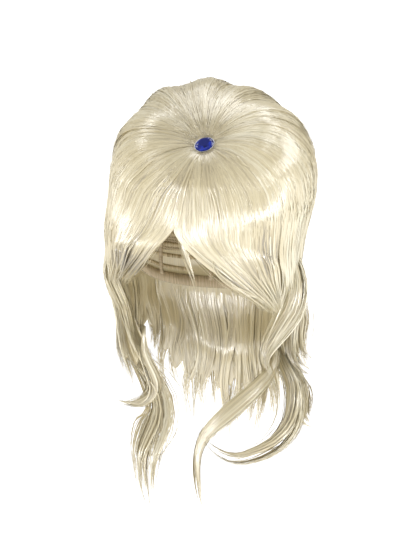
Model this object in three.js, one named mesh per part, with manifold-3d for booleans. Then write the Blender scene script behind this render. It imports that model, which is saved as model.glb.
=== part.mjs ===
// A beehive wig of pale synthetic hair with an oval stone above the fringe.
// Units are millimetres, +Z is up, the front faces -Y, and +X is on the right of someone who faces the front.
// The origin is the inside of the cap where it rests on the crown of the head.
import * as THREE from 'three';
import { mergeVertices } from 'three/addons/utils/BufferGeometryUtils.js';
import Module from 'manifold-3d';

const wasm = await Module();
wasm.setup();

// Net cap, shaped to a head
const headHalfWidth = 76;
const headHalfLength = 96;
const headDome = 95; // from the widest level of the head up to its crown
const capWall = 1.5;
const capFrontDrop = 31;
const capSideDrop = 105;
const capNapeDrop = 138;

// Dome of teased hair
const hiveHalfWidth = 109;
const hiveFrontDepth = 107;
const hiveBackDepth = 112;
const hiveHeight = 98;
const hiveSkirt = 260; // depth at which the sides would close, so the dome narrows slowly downwards
const hiveSet = 10; // how far behind the origin the dome's middle lies
const hiveLean = 24; // how far back the top leans
const leanSlope = 0.7; // how steeply that lean begins
const lowerLean = 0.4; // share of it by which the foot lies forward
const rimFrontDrop = 34;
const rimSideDrop = 88;
const rimNapeDrop = 122;
const rollHeight = 9;
const rollStart = 0.45; // share of a strand at which the rolls reach their full height
const rollEnd = 0.6; // share at which they begin to sink again
const fanLift = 1.15; // how strongly the combed hair rises before it falls
const fanSpread = 0.55; // share of its way round that a front strand has turned where it bends
const fanFrontRise = 14; // rise of the direction that it bends through, in degrees
const fanSideRise = 38;
const fanNapeRise = 60;

// Whorl from which all the hair is combed, with the stone on it
const whorlTurn = 12.8;
const whorlRise = 31.2;
const dimpleDepth = 6;
const dimpleSpread = 0.3;

// Hair that hangs below the dome
const hangLength = 350;
const skirtHold = 130; // below this depth the hanging hair no longer narrows with the dome
const sheetDepth = 13;
const rootLap = 7; // how far a sheet's root reaches up behind the rim
const rootSink = 2; // how deep that root lies
const rootThinning = 0.45; // share of a sheet's depth left at its root
const footThinning = 0.45; // and at its foot
const edgeThinning = 0.55; // share of it lost at its side edges
const rootEase = 0.25; // share of a strand over which a sheet thickens
const waveCount = 1.4; // waves down a sheet
const waveStart = 0.3; // share of a strand over which they grow
const ridgeStart = 0.04; // shares of a strand where a raised lock begins, is full and starts to taper
const ridgeFull = 0.35;
const ridgeTaper = 0.6;
const ridgeDepth = 0.55; // half depth of a raised lock, as a share of its sheet's depth
const tipShare = 0.12; // share of a raised lock's size left at its tip
const tipLength = 2;
const lockWidth = 30;
const lockDepth = 14;
const lockEnd = 1; // length of the point at either end of a separate lock
const lockAxisSet = 60; // how far behind the origin the axis lies that the separate locks face away from

// Stone and setting
const stoneLength = 20.5;
const stoneWidth = 16.2;
const stoneHeight = 5;
const girdleHeight = 2;
const settingWall = 0.7;
const settingFloor = 1;
const settingHeight = 2.5;
const settingSink = 2; // how deep the setting sits in the hair
const stoneTilt = 52; // rise of the stone's face above level
const stoneTwist = 42; // turn of its long axis in its own plane
const stoneSides = 16;
const backBevel = 1.2; // how much narrower the stone's back is than its girdle

const clearance = 0.3; // gap between pieces that rest on each other

// Numbers of facets
const hiveColumns = 54; // of the dome and of the cap inside it
const hiveRows = 13;
const hollowRows = 6; // of the cap and of the hollow that it fills
const lockSides = 8;
const lockSteps = 13;
const ridgeSides = 6;

// Combed rolls of the dome, between the turns where the grooves run; height is a share of rollHeight
const rolls = [
  { from: -50, to: 59, height: 0.5 },
  { from: 59, to: 93, height: 0.45 },
  { from: 93, to: 119, height: 0.3 },
  { from: 119, to: 146, height: 0.4 },
  { from: 146, to: 173, height: 0.55 },
  { from: 173, to: 212, height: 0.6 },
  { from: 212, to: 246, height: 0.5 },
  { from: 246, to: 278, height: 0.35 },
  { from: 278, to: 310, height: 0.35 },
];

// Sideways sway of the dome; rise is a share of hiveHeight, sway a share of hiveHalfWidth
const swayLevels = [
  { rise: -2.4, sway: -0.03 },
  { rise: -1.3, sway: -0.05 },
  { rise: -0.6, sway: -0.055 },
  { rise: -0.15, sway: 0.005 },
  { rise: 0.15, sway: 0.0 },
  { rise: 0.55, sway: -0.03 },
  { rise: 1.0, sway: -0.13 },
];

// Sheets of hanging hair, a row for each strand across the sheet.
// top and foot are turns in degrees, drop is a share of hangLength, reach a share of the dome's own
// half width and depth at the foot, belly the same at mid length, wave and thick shares of sheetDepth.
const fringeLeftStrands = [
  { top: -1, foot: -40, drop: 0.3, reach: 0.93, belly: 0.0, wave: 0.05, thick: 0.55 },
  { top: -17, foot: -46, drop: 0.3, reach: 0.96, belly: 0.03, wave: 0.1, thick: 0.9 },
  { top: -34, foot: -51, drop: 0.31, reach: 0.98, belly: 0.03, wave: 0.1, thick: 0.9 },
  { top: -46, foot: -54, drop: 0.31, reach: 0.99, belly: 0.01, wave: 0.05, thick: 0.6 },
];
const fringeRightStrands = [
  { top: 0, foot: 60, drop: 0.36, reach: 0.95, belly: 0.01, wave: 0.0, thick: 0.55 },
  { top: 16, foot: 64, drop: 0.36, reach: 0.97, belly: 0.04, wave: 0.08, thick: 0.9 },
  { top: 34, foot: 68, drop: 0.365, reach: 0.98, belly: 0.04, wave: 0.12, thick: 0.9 },
  { top: 52, foot: 71, drop: 0.365, reach: 0.98, belly: 0.03, wave: 0.1, thick: 0.8 },
  { top: 63, foot: 74, drop: 0.36, reach: 0.98, belly: 0.02, wave: 0.05, thick: 0.5 },
];
const fallLeftStrands = [
  { top: -48, foot: -50, drop: 0.53, reach: 0.66, belly: 0.06, wave: 0.1, thick: 0.5 },
  { top: -60, foot: -58, drop: 0.59, reach: 0.76, belly: 0.09, wave: 0.2, thick: 0.95 },
  { top: -78, foot: -73, drop: 0.61, reach: 0.87, belly: 0.08, wave: 0.28, thick: 1.0 },
  { top: -98, foot: -94, drop: 0.6, reach: 0.92, belly: 0.05, wave: 0.28, thick: 1.0 },
  { top: -124, foot: -124, drop: 0.58, reach: 0.88, belly: 0.02, wave: 0.2, thick: 0.6 },
];
const fallRightStrands = [
  { top: 66, foot: 96, drop: 0.47, reach: 0.9, belly: 0.0, wave: 0.1, thick: 0.5 },
  { top: 80, foot: 100, drop: 0.59, reach: 0.88, belly: 0.0, wave: 0.2, thick: 0.95 },
  { top: 95, foot: 108, drop: 0.62, reach: 0.92, belly: 0.02, wave: 0.3, thick: 1.0 },
  { top: 111, foot: 120, drop: 0.61, reach: 0.92, belly: 0.02, wave: 0.3, thick: 1.0 },
  { top: 128, foot: 132, drop: 0.58, reach: 0.9, belly: 0.01, wave: 0.25, thick: 0.6 },
];
const napeStrands = [
  { top: 126, foot: 126, drop: 0.68, reach: 0.92, belly: -0.01, wave: 0.3, thick: 0.6 },
  { top: 147, foot: 147, drop: 0.8, reach: 0.98, belly: 0.0, wave: 0.5, thick: 1.0 },
  { top: 166, foot: 167, drop: 0.84, reach: 0.9, belly: 0.02, wave: 0.6, thick: 1.1 },
  { top: 188, foot: 187, drop: 0.85, reach: 0.9, belly: 0.02, wave: 0.6, thick: 1.1 },
  { top: 209, foot: 208, drop: 0.8, reach: 0.98, belly: 0.0, wave: 0.5, thick: 1.0 },
  { top: 233, foot: 235, drop: 0.69, reach: 0.92, belly: -0.01, wave: 0.3, thick: 0.6 },
];

// Rings of facets above the stone's girdle; rise is a share of the way to the table, length and width are
// shares of the stone's own, turned is a share of one facet
const stoneCrown = [
  { rise: 0.62, length: 0.84, width: 0.82, turned: 0.5 },
  { rise: 1.0, length: 0.62, width: 0.58, turned: 0 },
];

// Separate locks, a row for each section from root to tip.
// side is a share of hiveHalfWidth, fore a share of hiveFrontDepth, drop a share of hangLength,
// width a share of lockWidth and thick a share of lockDepth.
const cheekWaveRows = [
  { side: 0.84, fore: -0.02, drop: 0.225, width: 0.35, thick: 0.5 },
  { side: 0.9, fore: 0.0, drop: 0.3, width: 0.6, thick: 0.72 },
  { side: 0.88, fore: 0.06, drop: 0.37, width: 0.7, thick: 0.78 },
  { side: 0.8, fore: 0.14, drop: 0.425, width: 0.68, thick: 0.75 },
  { side: 0.71, fore: 0.25, drop: 0.475, width: 0.6, thick: 0.7 },
  { side: 0.665, fore: 0.3, drop: 0.515, width: 0.45, thick: 0.6 },
  { side: 0.68, fore: 0.29, drop: 0.55, width: 0.28, thick: 0.45 },
  { side: 0.72, fore: 0.25, drop: 0.585, width: 0.08, thick: 0.15 },
];
const flipLockRows = [
  { side: 0.8, fore: -0.2, drop: 0.36, width: 0.5, thick: 0.5 },
  { side: 0.86, fore: -0.2, drop: 0.42, width: 0.8, thick: 0.75 },
  { side: 0.86, fore: -0.14, drop: 0.47, width: 0.85, thick: 0.8 },
  { side: 0.88, fore: -0.08, drop: 0.52, width: 0.7, thick: 0.7 },
  { side: 0.96, fore: -0.04, drop: 0.555, width: 0.45, thick: 0.5 },
  { side: 1.05, fore: -0.05, drop: 0.58, width: 0.1, thick: 0.2 },
];
const chestCurlRows = [
  { side: 0.7, fore: -0.11, drop: 0.53, width: 0.36, thick: 0.45 },
  { side: 0.8, fore: 0.0, drop: 0.57, width: 0.55, thick: 0.6 },
  { side: 0.92, fore: 0.14, drop: 0.61, width: 0.64, thick: 0.7 },
  { side: 0.975, fore: 0.29, drop: 0.662, width: 0.66, thick: 0.75 },
  { side: 0.965, fore: 0.43, drop: 0.712, width: 0.66, thick: 0.75 },
  { side: 0.86, fore: 0.57, drop: 0.756, width: 0.62, thick: 0.7 },
  { side: 0.69, fore: 0.67, drop: 0.785, width: 0.56, thick: 0.65 },
  { side: 0.5, fore: 0.74, drop: 0.8, width: 0.46, thick: 0.55 },
  { side: 0.31, fore: 0.78, drop: 0.775, width: 0.3, thick: 0.4 },
  { side: 0.17, fore: 0.77, drop: 0.735, width: 0.08, thick: 0.15 },
];
const neckStrandRows = [
  { side: 0.71, fore: 0.06, drop: 0.545, width: 0.3, thick: 0.4 },
  { side: 0.66, fore: 0.3, drop: 0.59, width: 0.4, thick: 0.5 },
  { side: 0.53, fore: 0.46, drop: 0.635, width: 0.5, thick: 0.5 },
  { side: 0.36, fore: 0.59, drop: 0.685, width: 0.55, thick: 0.5 },
  { side: 0.2, fore: 0.66, drop: 0.735, width: 0.5, thick: 0.5 },
  { side: 0.125, fore: 0.7, drop: 0.79, width: 0.4, thick: 0.45 },
  { side: 0.125, fore: 0.74, drop: 0.85, width: 0.4, thick: 0.4 },
  { side: 0.15, fore: 0.75, drop: 0.91, width: 0.32, thick: 0.35 },
  { side: 0.17, fore: 0.75, drop: 0.965, width: 0.08, thick: 0.15 },
];
const shoulderCurlRows = [
  { side: 0.78, fore: -0.22, drop: 0.585, width: 0.5, thick: 0.5 },
  { side: 0.9, fore: -0.12, drop: 0.635, width: 0.6, thick: 0.65 },
  { side: 0.95, fore: -0.06, drop: 0.68, width: 0.6, thick: 0.65 },
  { side: 0.97, fore: -0.02, drop: 0.72, width: 0.5, thick: 0.5 },
  { side: 1.05, fore: -0.04, drop: 0.75, width: 0.1, thick: 0.2 },
];
const flickLockRows = [
  { side: -0.565, fore: 0.4, drop: 0.515, width: 0.35, thick: 0.4 },
  { side: -0.52, fore: 0.3, drop: 0.59, width: 0.6, thick: 0.6 },
  { side: -0.5, fore: 0.25, drop: 0.645, width: 0.6, thick: 0.58 },
  { side: -0.56, fore: 0.25, drop: 0.682, width: 0.5, thick: 0.5 },
  { side: -0.68, fore: 0.265, drop: 0.702, width: 0.33, thick: 0.38 },
  { side: -0.79, fore: 0.28, drop: 0.703, width: 0.2, thick: 0.25 },
  { side: -0.88, fore: 0.29, drop: 0.695, width: 0.07, thick: 0.12 },
];
const chestLockRows = [
  { side: -0.85, fore: 0.05, drop: 0.53, width: 0.45, thick: 0.4 },
  { side: -0.68, fore: 0.1, drop: 0.6, width: 0.7, thick: 0.6 },
  { side: -0.48, fore: 0.21, drop: 0.665, width: 1.0, thick: 0.8 },
  { side: -0.42, fore: 0.34, drop: 0.72, width: 1.3, thick: 0.9 },
  { side: -0.455, fore: 0.45, drop: 0.775, width: 1.45, thick: 0.95 },
  { side: -0.49, fore: 0.53, drop: 0.835, width: 1.45, thick: 0.95 },
  { side: -0.48, fore: 0.58, drop: 0.895, width: 1.2, thick: 0.8 },
  { side: -0.455, fore: 0.6, drop: 0.95, width: 0.8, thick: 0.6 },
  { side: -0.43, fore: 0.61, drop: 1.0, width: 0.2, thick: 0.25 },
];

// Falls: the facets of each sheet, the bend of its strands and the raised locks fused to it.
// across is the place on the sheet, width a share of lockWidth, overhang a share of the strand's length.
const falls = {
  fringe_left: {
    strands: fringeLeftStrands, columns: 5, rows: 5, ridgeRows: 7, sweep: 1.25, tone: 'fringe', beside: [],
    ridges: [
      { across: 0.1, width: 0.55, overhang: 0.02 },
      { across: 0.4, width: 0.75, overhang: 0.1 },
      { across: 0.72, width: 0.7, overhang: 0.06 },
    ],
  },
  fringe_right: {
    strands: fringeRightStrands, columns: 6, rows: 6, ridgeRows: 7, sweep: 1.25, tone: 'fringe', beside: [],
    ridges: [
      { across: 0.08, width: 0.65, overhang: 0.04 },
      { across: 0.36, width: 0.95, overhang: 0.05 },
      { across: 0.68, width: 0.9, overhang: 0.04 },
    ],
  },
  side_fall_left: {
    strands: fallLeftStrands, columns: 6, rows: 6, ridgeRows: 8, sweep: 1, tone: 'fall',
    beside: ['fringe_left'],
    ridges: [
      { across: 0.18, width: 0.9, overhang: 0.08 },
      { across: 0.48, width: 1.25, overhang: 0.16 },
      { across: 0.8, width: 1.2, overhang: 0.12 },
    ],
  },
  side_fall_right: {
    strands: fallRightStrands, columns: 6, rows: 7, ridgeRows: 9, sweep: 1, tone: 'fall',
    beside: ['fringe_right'],
    ridges: [
      { across: 0.2, width: 0.75, overhang: 0.05 },
      { across: 0.5, width: 0.95, overhang: 0.12 },
      { across: 0.82, width: 0.9, overhang: 0.16 },
    ],
  },
  nape_fall: {
    strands: napeStrands, columns: 9, rows: 7, ridgeRows: 8, sweep: 1, tone: 'fall',
    beside: ['side_fall_left', 'side_fall_right'],
    ridges: [
      { across: 0.2, width: 1.35, overhang: 0.14 },
      { across: 0.41, width: 1.4, overhang: 0.06 },
      { across: 0.61, width: 1.4, overhang: 0.12 },
      { across: 0.81, width: 1.35, overhang: 0.1 },
    ],
  },
};

const hairTones = {
  hive: 0xe0d6b8,
  fringe: 0xe9e1c9,
  fall: 0xddd2b2,
  lock: 0xe6dcc0,
};

const radians = (degrees) => (degrees * Math.PI) / 180;
const mix = (start, end, share) => start + (end - start) * share;

function smooth(share) {
  const held = Math.min(Math.max(share, 0), 1);
  return held * held * (3 - 2 * held);
}

// Value of a table's column at a share of the way through its rows, on a curve that passes each row
function between(rows, column, share) {
  const place = Math.min(Math.max(share, 0), 1) * (rows.length - 1);
  const row = Math.min(Math.floor(place), rows.length - 2);
  const part = place - row;
  const pick = (index) => rows[Math.min(Math.max(index, 0), rows.length - 1)][column];
  const [before, here, next, after] = [pick(row - 1), pick(row), pick(row + 1), pick(row + 2)];
  const rise = (next - before) / 2;
  const run = (after - here) / 2;
  const cubic = 2 * here - 2 * next + rise + run;
  const square = -3 * here + 3 * next - 2 * rise - run;
  return ((cubic * part + square) * part + rise) * part + here;
}

// Value of a column at a given level of a table whose rows rise, eased between rows
function atLevel(rows, levelColumn, column, level) {
  const upper = rows.findIndex((row) => row[levelColumn] > level);
  if (upper === 0) return rows[0][column];
  if (upper < 0) return rows[rows.length - 1][column];
  const [low, high] = [rows[upper - 1], rows[upper]];
  const share = (level - low[levelColumn]) / (high[levelColumn] - low[levelColumn]);
  return mix(low[column], high[column], smooth(share));
}

// A drop that passes three named values at the front, the sides and the nape
function dropAround(front, side, nape, turn) {
  const back = (1 - Math.cos(radians(turn))) / 2;
  const ahead = 1 - back;
  return front * ahead * (ahead - back) + side * 4 * back * ahead + nape * back * (back - ahead);
}

// Two triangles of a four-cornered facet
const splitFacet = (a, b, c, d) => [[a, b, c], [a, c, d]];

// Closed mesh from rings of points, each ring closed on itself, with a point at either end. From ring number
// turnBack on, the rings run back, and their facets split the other way to match what lies against them.
function ringMesh(startPoint, rings, endPoint, turnBack = rings.length) {
  const count = rings[0].length;
  const points = [startPoint, ...rings.flat(), endPoint];
  const faces = [];
  const last = points.length - 1;
  for (let step = 0; step < count; step += 1) {
    const next = (step + 1) % count;
    faces.push([0, 1 + step, 1 + next]);
    for (let ring = 0; ring < rings.length - 1; ring += 1) {
      const here = 1 + ring * count;
      const below = here + count;
      const corners = [here + step, below + step, below + next, here + next];
      if (ring >= turnBack) corners.push(corners.shift());
      faces.push(...splitFacet(...corners));
    }
    const end = 1 + (rings.length - 1) * count;
    faces.push([end + step, last, end + next]);
  }
  return solidFrom(points, faces);
}

// Closed mesh from an outer and an inner grid of the same size, joined along their edges
function sheetMesh(outer, inner) {
  const rows = outer.length;
  const columns = outer[0].length;
  const points = [...outer.flat(), ...inner.flat()];
  const faces = [];
  const behind = rows * columns;
  const quad = (...corners) => faces.push(...splitFacet(...corners));
  const place = (row, column) => row * columns + column;
  for (let row = 0; row < rows - 1; row += 1) {
    for (let column = 0; column < columns - 1; column += 1) {
      const near = [place(row, column), place(row + 1, column)];
      const far = [place(row + 1, column + 1), place(row, column + 1)];
      quad(...near, ...far);
      quad(...[...near, ...far].reverse().map((corner) => corner + behind));
    }
    const edge = columns - 1;
    quad(place(row, 0), place(row, 0) + behind, place(row + 1, 0) + behind, place(row + 1, 0));
    quad(place(row + 1, edge), place(row + 1, edge) + behind, place(row, edge) + behind, place(row, edge));
  }
  for (let column = 0; column < columns - 1; column += 1) {
    const top = [place(0, column), place(0, column + 1)];
    const foot = [place(rows - 1, column + 1), place(rows - 1, column)];
    for (const [start, end] of [top, foot]) quad(end, end + behind, start + behind, start);
  }
  return solidFrom(points, faces);
}

// Solid for cuts from points and triangles, turned to face outwards
function solidFrom(points, faces) {
  let volume = 0;
  for (const [a, b, c] of faces) {
    volume += points[a].dot(new THREE.Vector3().crossVectors(points[b], points[c]));
  }
  const ordered = volume > 0 ? faces : faces.map(([a, b, c]) => [a, c, b]);
  let geometry = new THREE.BufferGeometry();
  const coordinates = points.flatMap((point) => point.toArray());
  geometry.setAttribute('position', new THREE.Float32BufferAttribute(coordinates, 3));
  geometry.setIndex(ordered.flat());
  geometry = mergeVertices(geometry, 1e-4);
  return new wasm.Manifold(new wasm.Mesh({
    numProp: 3,
    vertProperties: new Float32Array(geometry.attributes.position.array),
    triVerts: new Uint32Array(geometry.index.array),
  }));
}

function meshFrom(name, solid, material) {
  const data = solid.getMesh();
  const geometry = new THREE.BufferGeometry();
  geometry.setAttribute('position', new THREE.BufferAttribute(new Float32Array(data.vertProperties), 3));
  geometry.setIndex(new THREE.BufferAttribute(new Uint32Array(data.triVerts), 1));
  geometry.computeVertexNormals();
  const mesh = new THREE.Mesh(geometry, material);
  mesh.name = name;
  return mesh;
}

function hairMaterial(tone) {
  return new THREE.MeshStandardMaterial({ color: tone, roughness: 0.42, metalness: 0 });
}

// Direction with a given turn from the front and a given rise above level
function compass(turn, rise) {
  const flat = Math.cos(radians(rise));
  return new THREE.Vector3(
    flat * Math.sin(radians(turn)), -flat * Math.cos(radians(turn)), Math.sin(radians(rise)));
}

function leanAt(height) {
  const share = height / hiveHeight;
  if (share > 0) return hiveLean * share * mix(leanSlope, 1, share);
  return hiveLean * lowerLean * Math.tanh((leanSlope / lowerLean) * share);
}

function swayAt(height) {
  return hiveHalfWidth * atLevel(swayLevels, 'rise', 'sway', height / hiveHeight);
}

// Point of the plain dome in a direction: an egg that leans and sways
function hiveSkin(heading) {
  const height = heading.z * (heading.z > 0 ? hiveHeight : hiveSkirt);
  const depth = heading.y < 0 ? hiveFrontDepth : hiveBackDepth;
  return new THREE.Vector3(
    heading.x * hiveHalfWidth + swayAt(height), heading.y * depth + hiveSet + leanAt(height), height);
}

function hiveOutward(heading) {
  const depth = heading.y < 0 ? hiveFrontDepth : hiveBackDepth;
  const reach = heading.z > 0 ? hiveHeight : hiveSkirt;
  return new THREE.Vector3(heading.x / hiveHalfWidth, heading.y / depth, heading.z / reach).normalize();
}

// Turn at which a strand bends: near the whorl's own turn in front, its full turn behind
function bendTurn(turn) {
  const round = ((((turn - whorlTurn + 180) % 360) + 360) % 360) - 180;
  return whorlTurn + round * mix(fanSpread, 1, (1 - Math.cos(radians(round))) / 2);
}

// Direction of a combed strand: from the whorl, over a raised middle, to the rim at its own turn
function strandHeading(turn, along) {
  const rimSlope = -dropAround(rimFrontDrop, rimSideDrop, rimNapeDrop, turn) / hiveSkirt;
  const rim = compass(turn, THREE.MathUtils.radToDeg(Math.asin(rimSlope)));
  const middle = compass(bendTurn(turn), dropAround(fanFrontRise, fanSideRise, fanNapeRise, turn));
  return compass(whorlTurn, whorlRise).multiplyScalar((1 - along) ** 2)
    .addScaledVector(middle, 2 * along * (1 - along) * fanLift)
    .addScaledVector(rim, along ** 2)
    .normalize();
}

// Height of the combed rolls and depth of the dimple at a place on a strand
function hairRelief(turn, along) {
  const around = turn < rolls[0].from ? turn + 360 : turn;
  const roll = rolls.find((row) => around <= row.to) ?? rolls[rolls.length - 1];
  const across = (2 * (around - roll.from)) / (roll.to - roll.from) - 1;
  const swell = smooth(along / rollStart) * (1 - smooth((along - rollEnd) / (1 - rollEnd)));
  const dimple = dimpleDepth * Math.exp(-((along / dimpleSpread) ** 2));
  return roll.height * rollHeight * (1 - across ** 2) * swell - dimple;
}

function hivePoint(turn, along, proud) {
  const heading = strandHeading(turn, along);
  return hiveSkin(heading).addScaledVector(hiveOutward(heading), hairRelief(turn, along) + proud);
}

// Point on a surface that lies a given distance outside the head; share runs from the crown to the cap's rim
function headPoint(turn, share, distance, extraDrop = 0) {
  const drop = dropAround(capFrontDrop, capSideDrop, capNapeDrop, turn) + extraDrop;
  const polar = Math.acos(1 - drop / headDome) * share;
  const [wide, long, tall] = [headHalfWidth + distance, headHalfLength + distance, headDome + distance];
  return new THREE.Vector3(
    wide * Math.sin(polar) * Math.sin(radians(turn)),
    -long * Math.sin(polar) * Math.cos(radians(turn)),
    tall * Math.cos(polar) - headDome);
}

function turnsOf(columns) {
  return Array.from({ length: columns }, (_, column) => rolls[0].from + (column * 360) / columns);
}

// Rings of a surface a given distance outside the head, from near the crown down to the rim
function headRings(distance, rimDrop) {
  return Array.from({ length: hollowRows }, (_, row) => {
    const extraDrop = row === hollowRows - 1 ? rimDrop : 0;
    return turnsOf(hiveColumns).map((turn) => headPoint(turn, (row + 1) / hollowRows, distance, extraDrop));
  });
}

function capSolid() {
  const rings = [...headRings(capWall, 0), ...headRings(0, 0).reverse()];
  return ringMesh(headPoint(0, 0, capWall), rings, headPoint(0, 0, 0), hollowRows);
}

// The room that the cap and the head in it take up, which no hanging hair enters
function headRoomSolid() {
  const rings = headRings(capWall + clearance, 2 * clearance);
  return ringMesh(headPoint(0, 0, capWall + clearance), rings, new THREE.Vector3(0, 0, -capSideDrop));
}

// Thick hollow dome; proud grows it on every side, for cuts in what rests on it
function hiveSolid(proud) {
  const turns = turnsOf(hiveColumns);
  const inside = capWall + clearance - proud;
  const rings = [];
  for (let row = 1; row <= hiveRows; row += 1) {
    rings.push(turns.map((turn) => hivePoint(turn, row / hiveRows, proud)));
  }
  const loweredRim = (turn) => hivePoint(turn, 1, proud).setZ(hivePoint(turn, 1, 0).z - proud);
  if (proud > 0) rings.push(turns.map(loweredRim));
  const rim = rings.length;
  rings.push(...headRings(inside, 3 * proud).reverse());
  return ringMesh(hivePoint(0, 0, proud), rings, headPoint(0, 0, inside), rim);
}

// Point of the hanging hair's guide surface at a turn, a height and a reach
function fallPoint(turn, height, reach) {
  const slope = Math.min(Math.max(-height, 0), skirtHold) / hiveSkirt;
  const narrowing = Math.sqrt(1 - slope ** 2) * reach;
  const depth = Math.cos(radians(turn)) > 0 ? hiveFrontDepth : hiveBackDepth;
  return new THREE.Vector3(
    narrowing * hiveHalfWidth * Math.sin(radians(turn)) + swayAt(height),
    -narrowing * depth * Math.cos(radians(turn)) + hiveSet + leanAt(height),
    height);
}

// Place on a hanging strand: its point on the guide surface, the way out and the hair's depth there
function strandPlace(strands, sweep, across, along, twist = 0) {
  const top = between(strands, 'top', across);
  const held = Math.max(along, 0);
  const turn = mix(top, between(strands, 'foot', across), held ** sweep) + twist;
  const rim = -dropAround(rimFrontDrop, rimSideDrop, rimNapeDrop, top);
  const foot = -between(strands, 'drop', across) * hangLength;
  const settled = Math.min(held, 1);
  const reach = mix(1, between(strands, 'reach', across), settled ** 2)
    + between(strands, 'belly', across) * Math.sin(Math.PI * settled);
  const wave = between(strands, 'wave', across) * sheetDepth * Math.sin(2 * Math.PI * waveCount * held);
  const outward = new THREE.Vector3(Math.sin(radians(turn)), -Math.cos(radians(turn)), 0);
  const point = fallPoint(turn, mix(rim, foot, held), reach);
  point.addScaledVector(outward, wave * smooth(held / waveStart));
  return { point, outward, thick: between(strands, 'thick', across) * sheetDepth };
}

// Sheet of hair that hangs from the dome's rim; sweep bends its strands, proud grows it on every side
function sheetSolid({ strands, columns, rows, sweep }, proud) {
  const outer = [];
  const inner = [];
  const widening = Math.sign(strands[strands.length - 1].top - strands[0].top) * proud;
  for (let row = -1; row <= rows; row += 1) {
    const along = Math.max(row, 0) / rows;
    const sunk = row < 0 ? rootSink : 0;
    const outerRow = [];
    const innerRow = [];
    for (let column = 0; column <= columns; column += 1) {
      const across = column / columns;
      const edge = column === 0 ? -1 : Number(column === columns);
      const twist = THREE.MathUtils.radToDeg((edge * widening) / hiveHalfWidth);
      const { point, outward, thick } = strandPlace(strands, sweep, across, along, twist);
      if (row < 0) point.z += rootLap;
      if (row === rows) point.z -= proud;
      const rounding = 1 - edgeThinning * (2 * across - 1) ** 4;
      const growth = mix(rootThinning, 1, smooth(along / rootEase)) * mix(1, footThinning, along ** 3);
      const depth = thick * rounding * growth;
      outerRow.push(point.clone().addScaledVector(outward, proud - sunk));
      innerRow.push(point.clone().addScaledVector(outward, -proud - sunk - depth));
    }
    outer.push(outerRow);
    inner.push(innerRow);
  }
  return sheetMesh(outer, inner);
}

function middleOf(ring) {
  const sum = ring.reduce((total, corner) => total.add(corner), new THREE.Vector3());
  return sum.divideScalar(ring.length);
}

// Raised lock that runs down a sheet and hangs past its hem
function ridgeSolid({ strands, sweep, ridgeRows }, { across, width, overhang }, proud) {
  const stretch = 1 + overhang;
  const places = Array.from({ length: ridgeRows + 1 }, (_, row) => {
    const along = mix(ridgeStart, stretch, row / ridgeRows);
    return { along, ...strandPlace(strands, sweep, across, along) };
  });
  const rings = places.map(({ along, point, outward, thick }, row) => {
    const ahead = places[Math.min(row + 1, ridgeRows)].point.clone()
      .sub(places[Math.max(row - 1, 0)].point).normalize();
    const face = outward.clone().addScaledVector(ahead, -outward.dot(ahead)).normalize();
    const sideways = new THREE.Vector3().crossVectors(ahead, face);
    const taper = mix(1, tipShare, smooth((along - ridgeTaper) / (stretch - ridgeTaper)));
    const growth = mix(rootThinning, 1, smooth(along / ridgeFull));
    const halfWidth = (width * lockWidth * taper) / 2 + proud;
    const halfDepth = ridgeDepth * thick * taper * growth;
    const centre = point.clone().addScaledVector(face, -ridgeDepth * halfDepth);
    return Array.from({ length: ridgeSides }, (_, side) => {
      const angle = (2 * Math.PI * side) / ridgeSides;
      return centre.clone()
        .addScaledVector(sideways, halfWidth * Math.cos(angle))
        .addScaledVector(face, (halfDepth + proud) * Math.sin(angle));
    });
  });
  const start = middleOf(rings[0]);
  const end = middleOf(rings[ridgeRows]).add(new THREE.Vector3(0, 0, -tipLength - proud));
  return ringMesh(start, rings, end);
}

// A sheet with its raised locks fused to it
function fallSolid(fall, proud) {
  const sheet = sheetSolid(fall, proud);
  return fall.ridges.reduce((solid, ridge) => solid.add(ridgeSolid(fall, ridge, proud)), sheet);
}

// Point beyond one end of a line of points, in line with it
function pointBeyond(end, before, distance) {
  return end.clone().addScaledVector(end.clone().sub(before).normalize(), distance);
}

// Tapered lock with an oval section, flat to an axis behind the head; proud grows it on every side
function lockSolid(rows, proud) {
  const centres = [];
  for (let step = 0; step <= lockSteps; step += 1) {
    const share = step / lockSteps;
    centres.push(new THREE.Vector3(
      between(rows, 'side', share) * hiveHalfWidth,
      -between(rows, 'fore', share) * hiveFrontDepth,
      -between(rows, 'drop', share) * hangLength));
  }
  const rings = centres.map((centre, step) => {
    const share = step / lockSteps;
    const [before, after] = [centres[Math.max(step - 1, 0)], centres[Math.min(step + 1, lockSteps)]];
    const ahead = after.clone().sub(before).normalize();
    const outward = new THREE.Vector3(centre.x, centre.y - lockAxisSet, 0);
    outward.addScaledVector(ahead, -outward.dot(ahead)).normalize();
    const across = new THREE.Vector3().crossVectors(ahead, outward);
    const halfWidth = (between(rows, 'width', share) * lockWidth) / 2 + proud;
    const halfDepth = (between(rows, 'thick', share) * lockDepth) / 2 + proud;
    return Array.from({ length: lockSides }, (_, side) => {
      const angle = (2 * Math.PI * (side + 0.5)) / lockSides;
      return centre.clone()
        .addScaledVector(across, halfWidth * Math.cos(angle))
        .addScaledVector(outward, halfDepth * Math.sin(angle));
    });
  });
  const start = pointBeyond(centres[0], centres[1], lockEnd + proud);
  const end = pointBeyond(centres[lockSteps], centres[lockSteps - 1], lockEnd + proud);
  return ringMesh(start, rings, end);
}

// Oval ring of points in the stone's own plane
function oval(length, width, height, turned = 0) {
  return Array.from({ length: stoneSides }, (_, side) => {
    const angle = (2 * Math.PI * (side + turned)) / stoneSides;
    return new THREE.Vector3((length / 2) * Math.cos(angle), (width / 2) * Math.sin(angle), height);
  });
}

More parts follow.
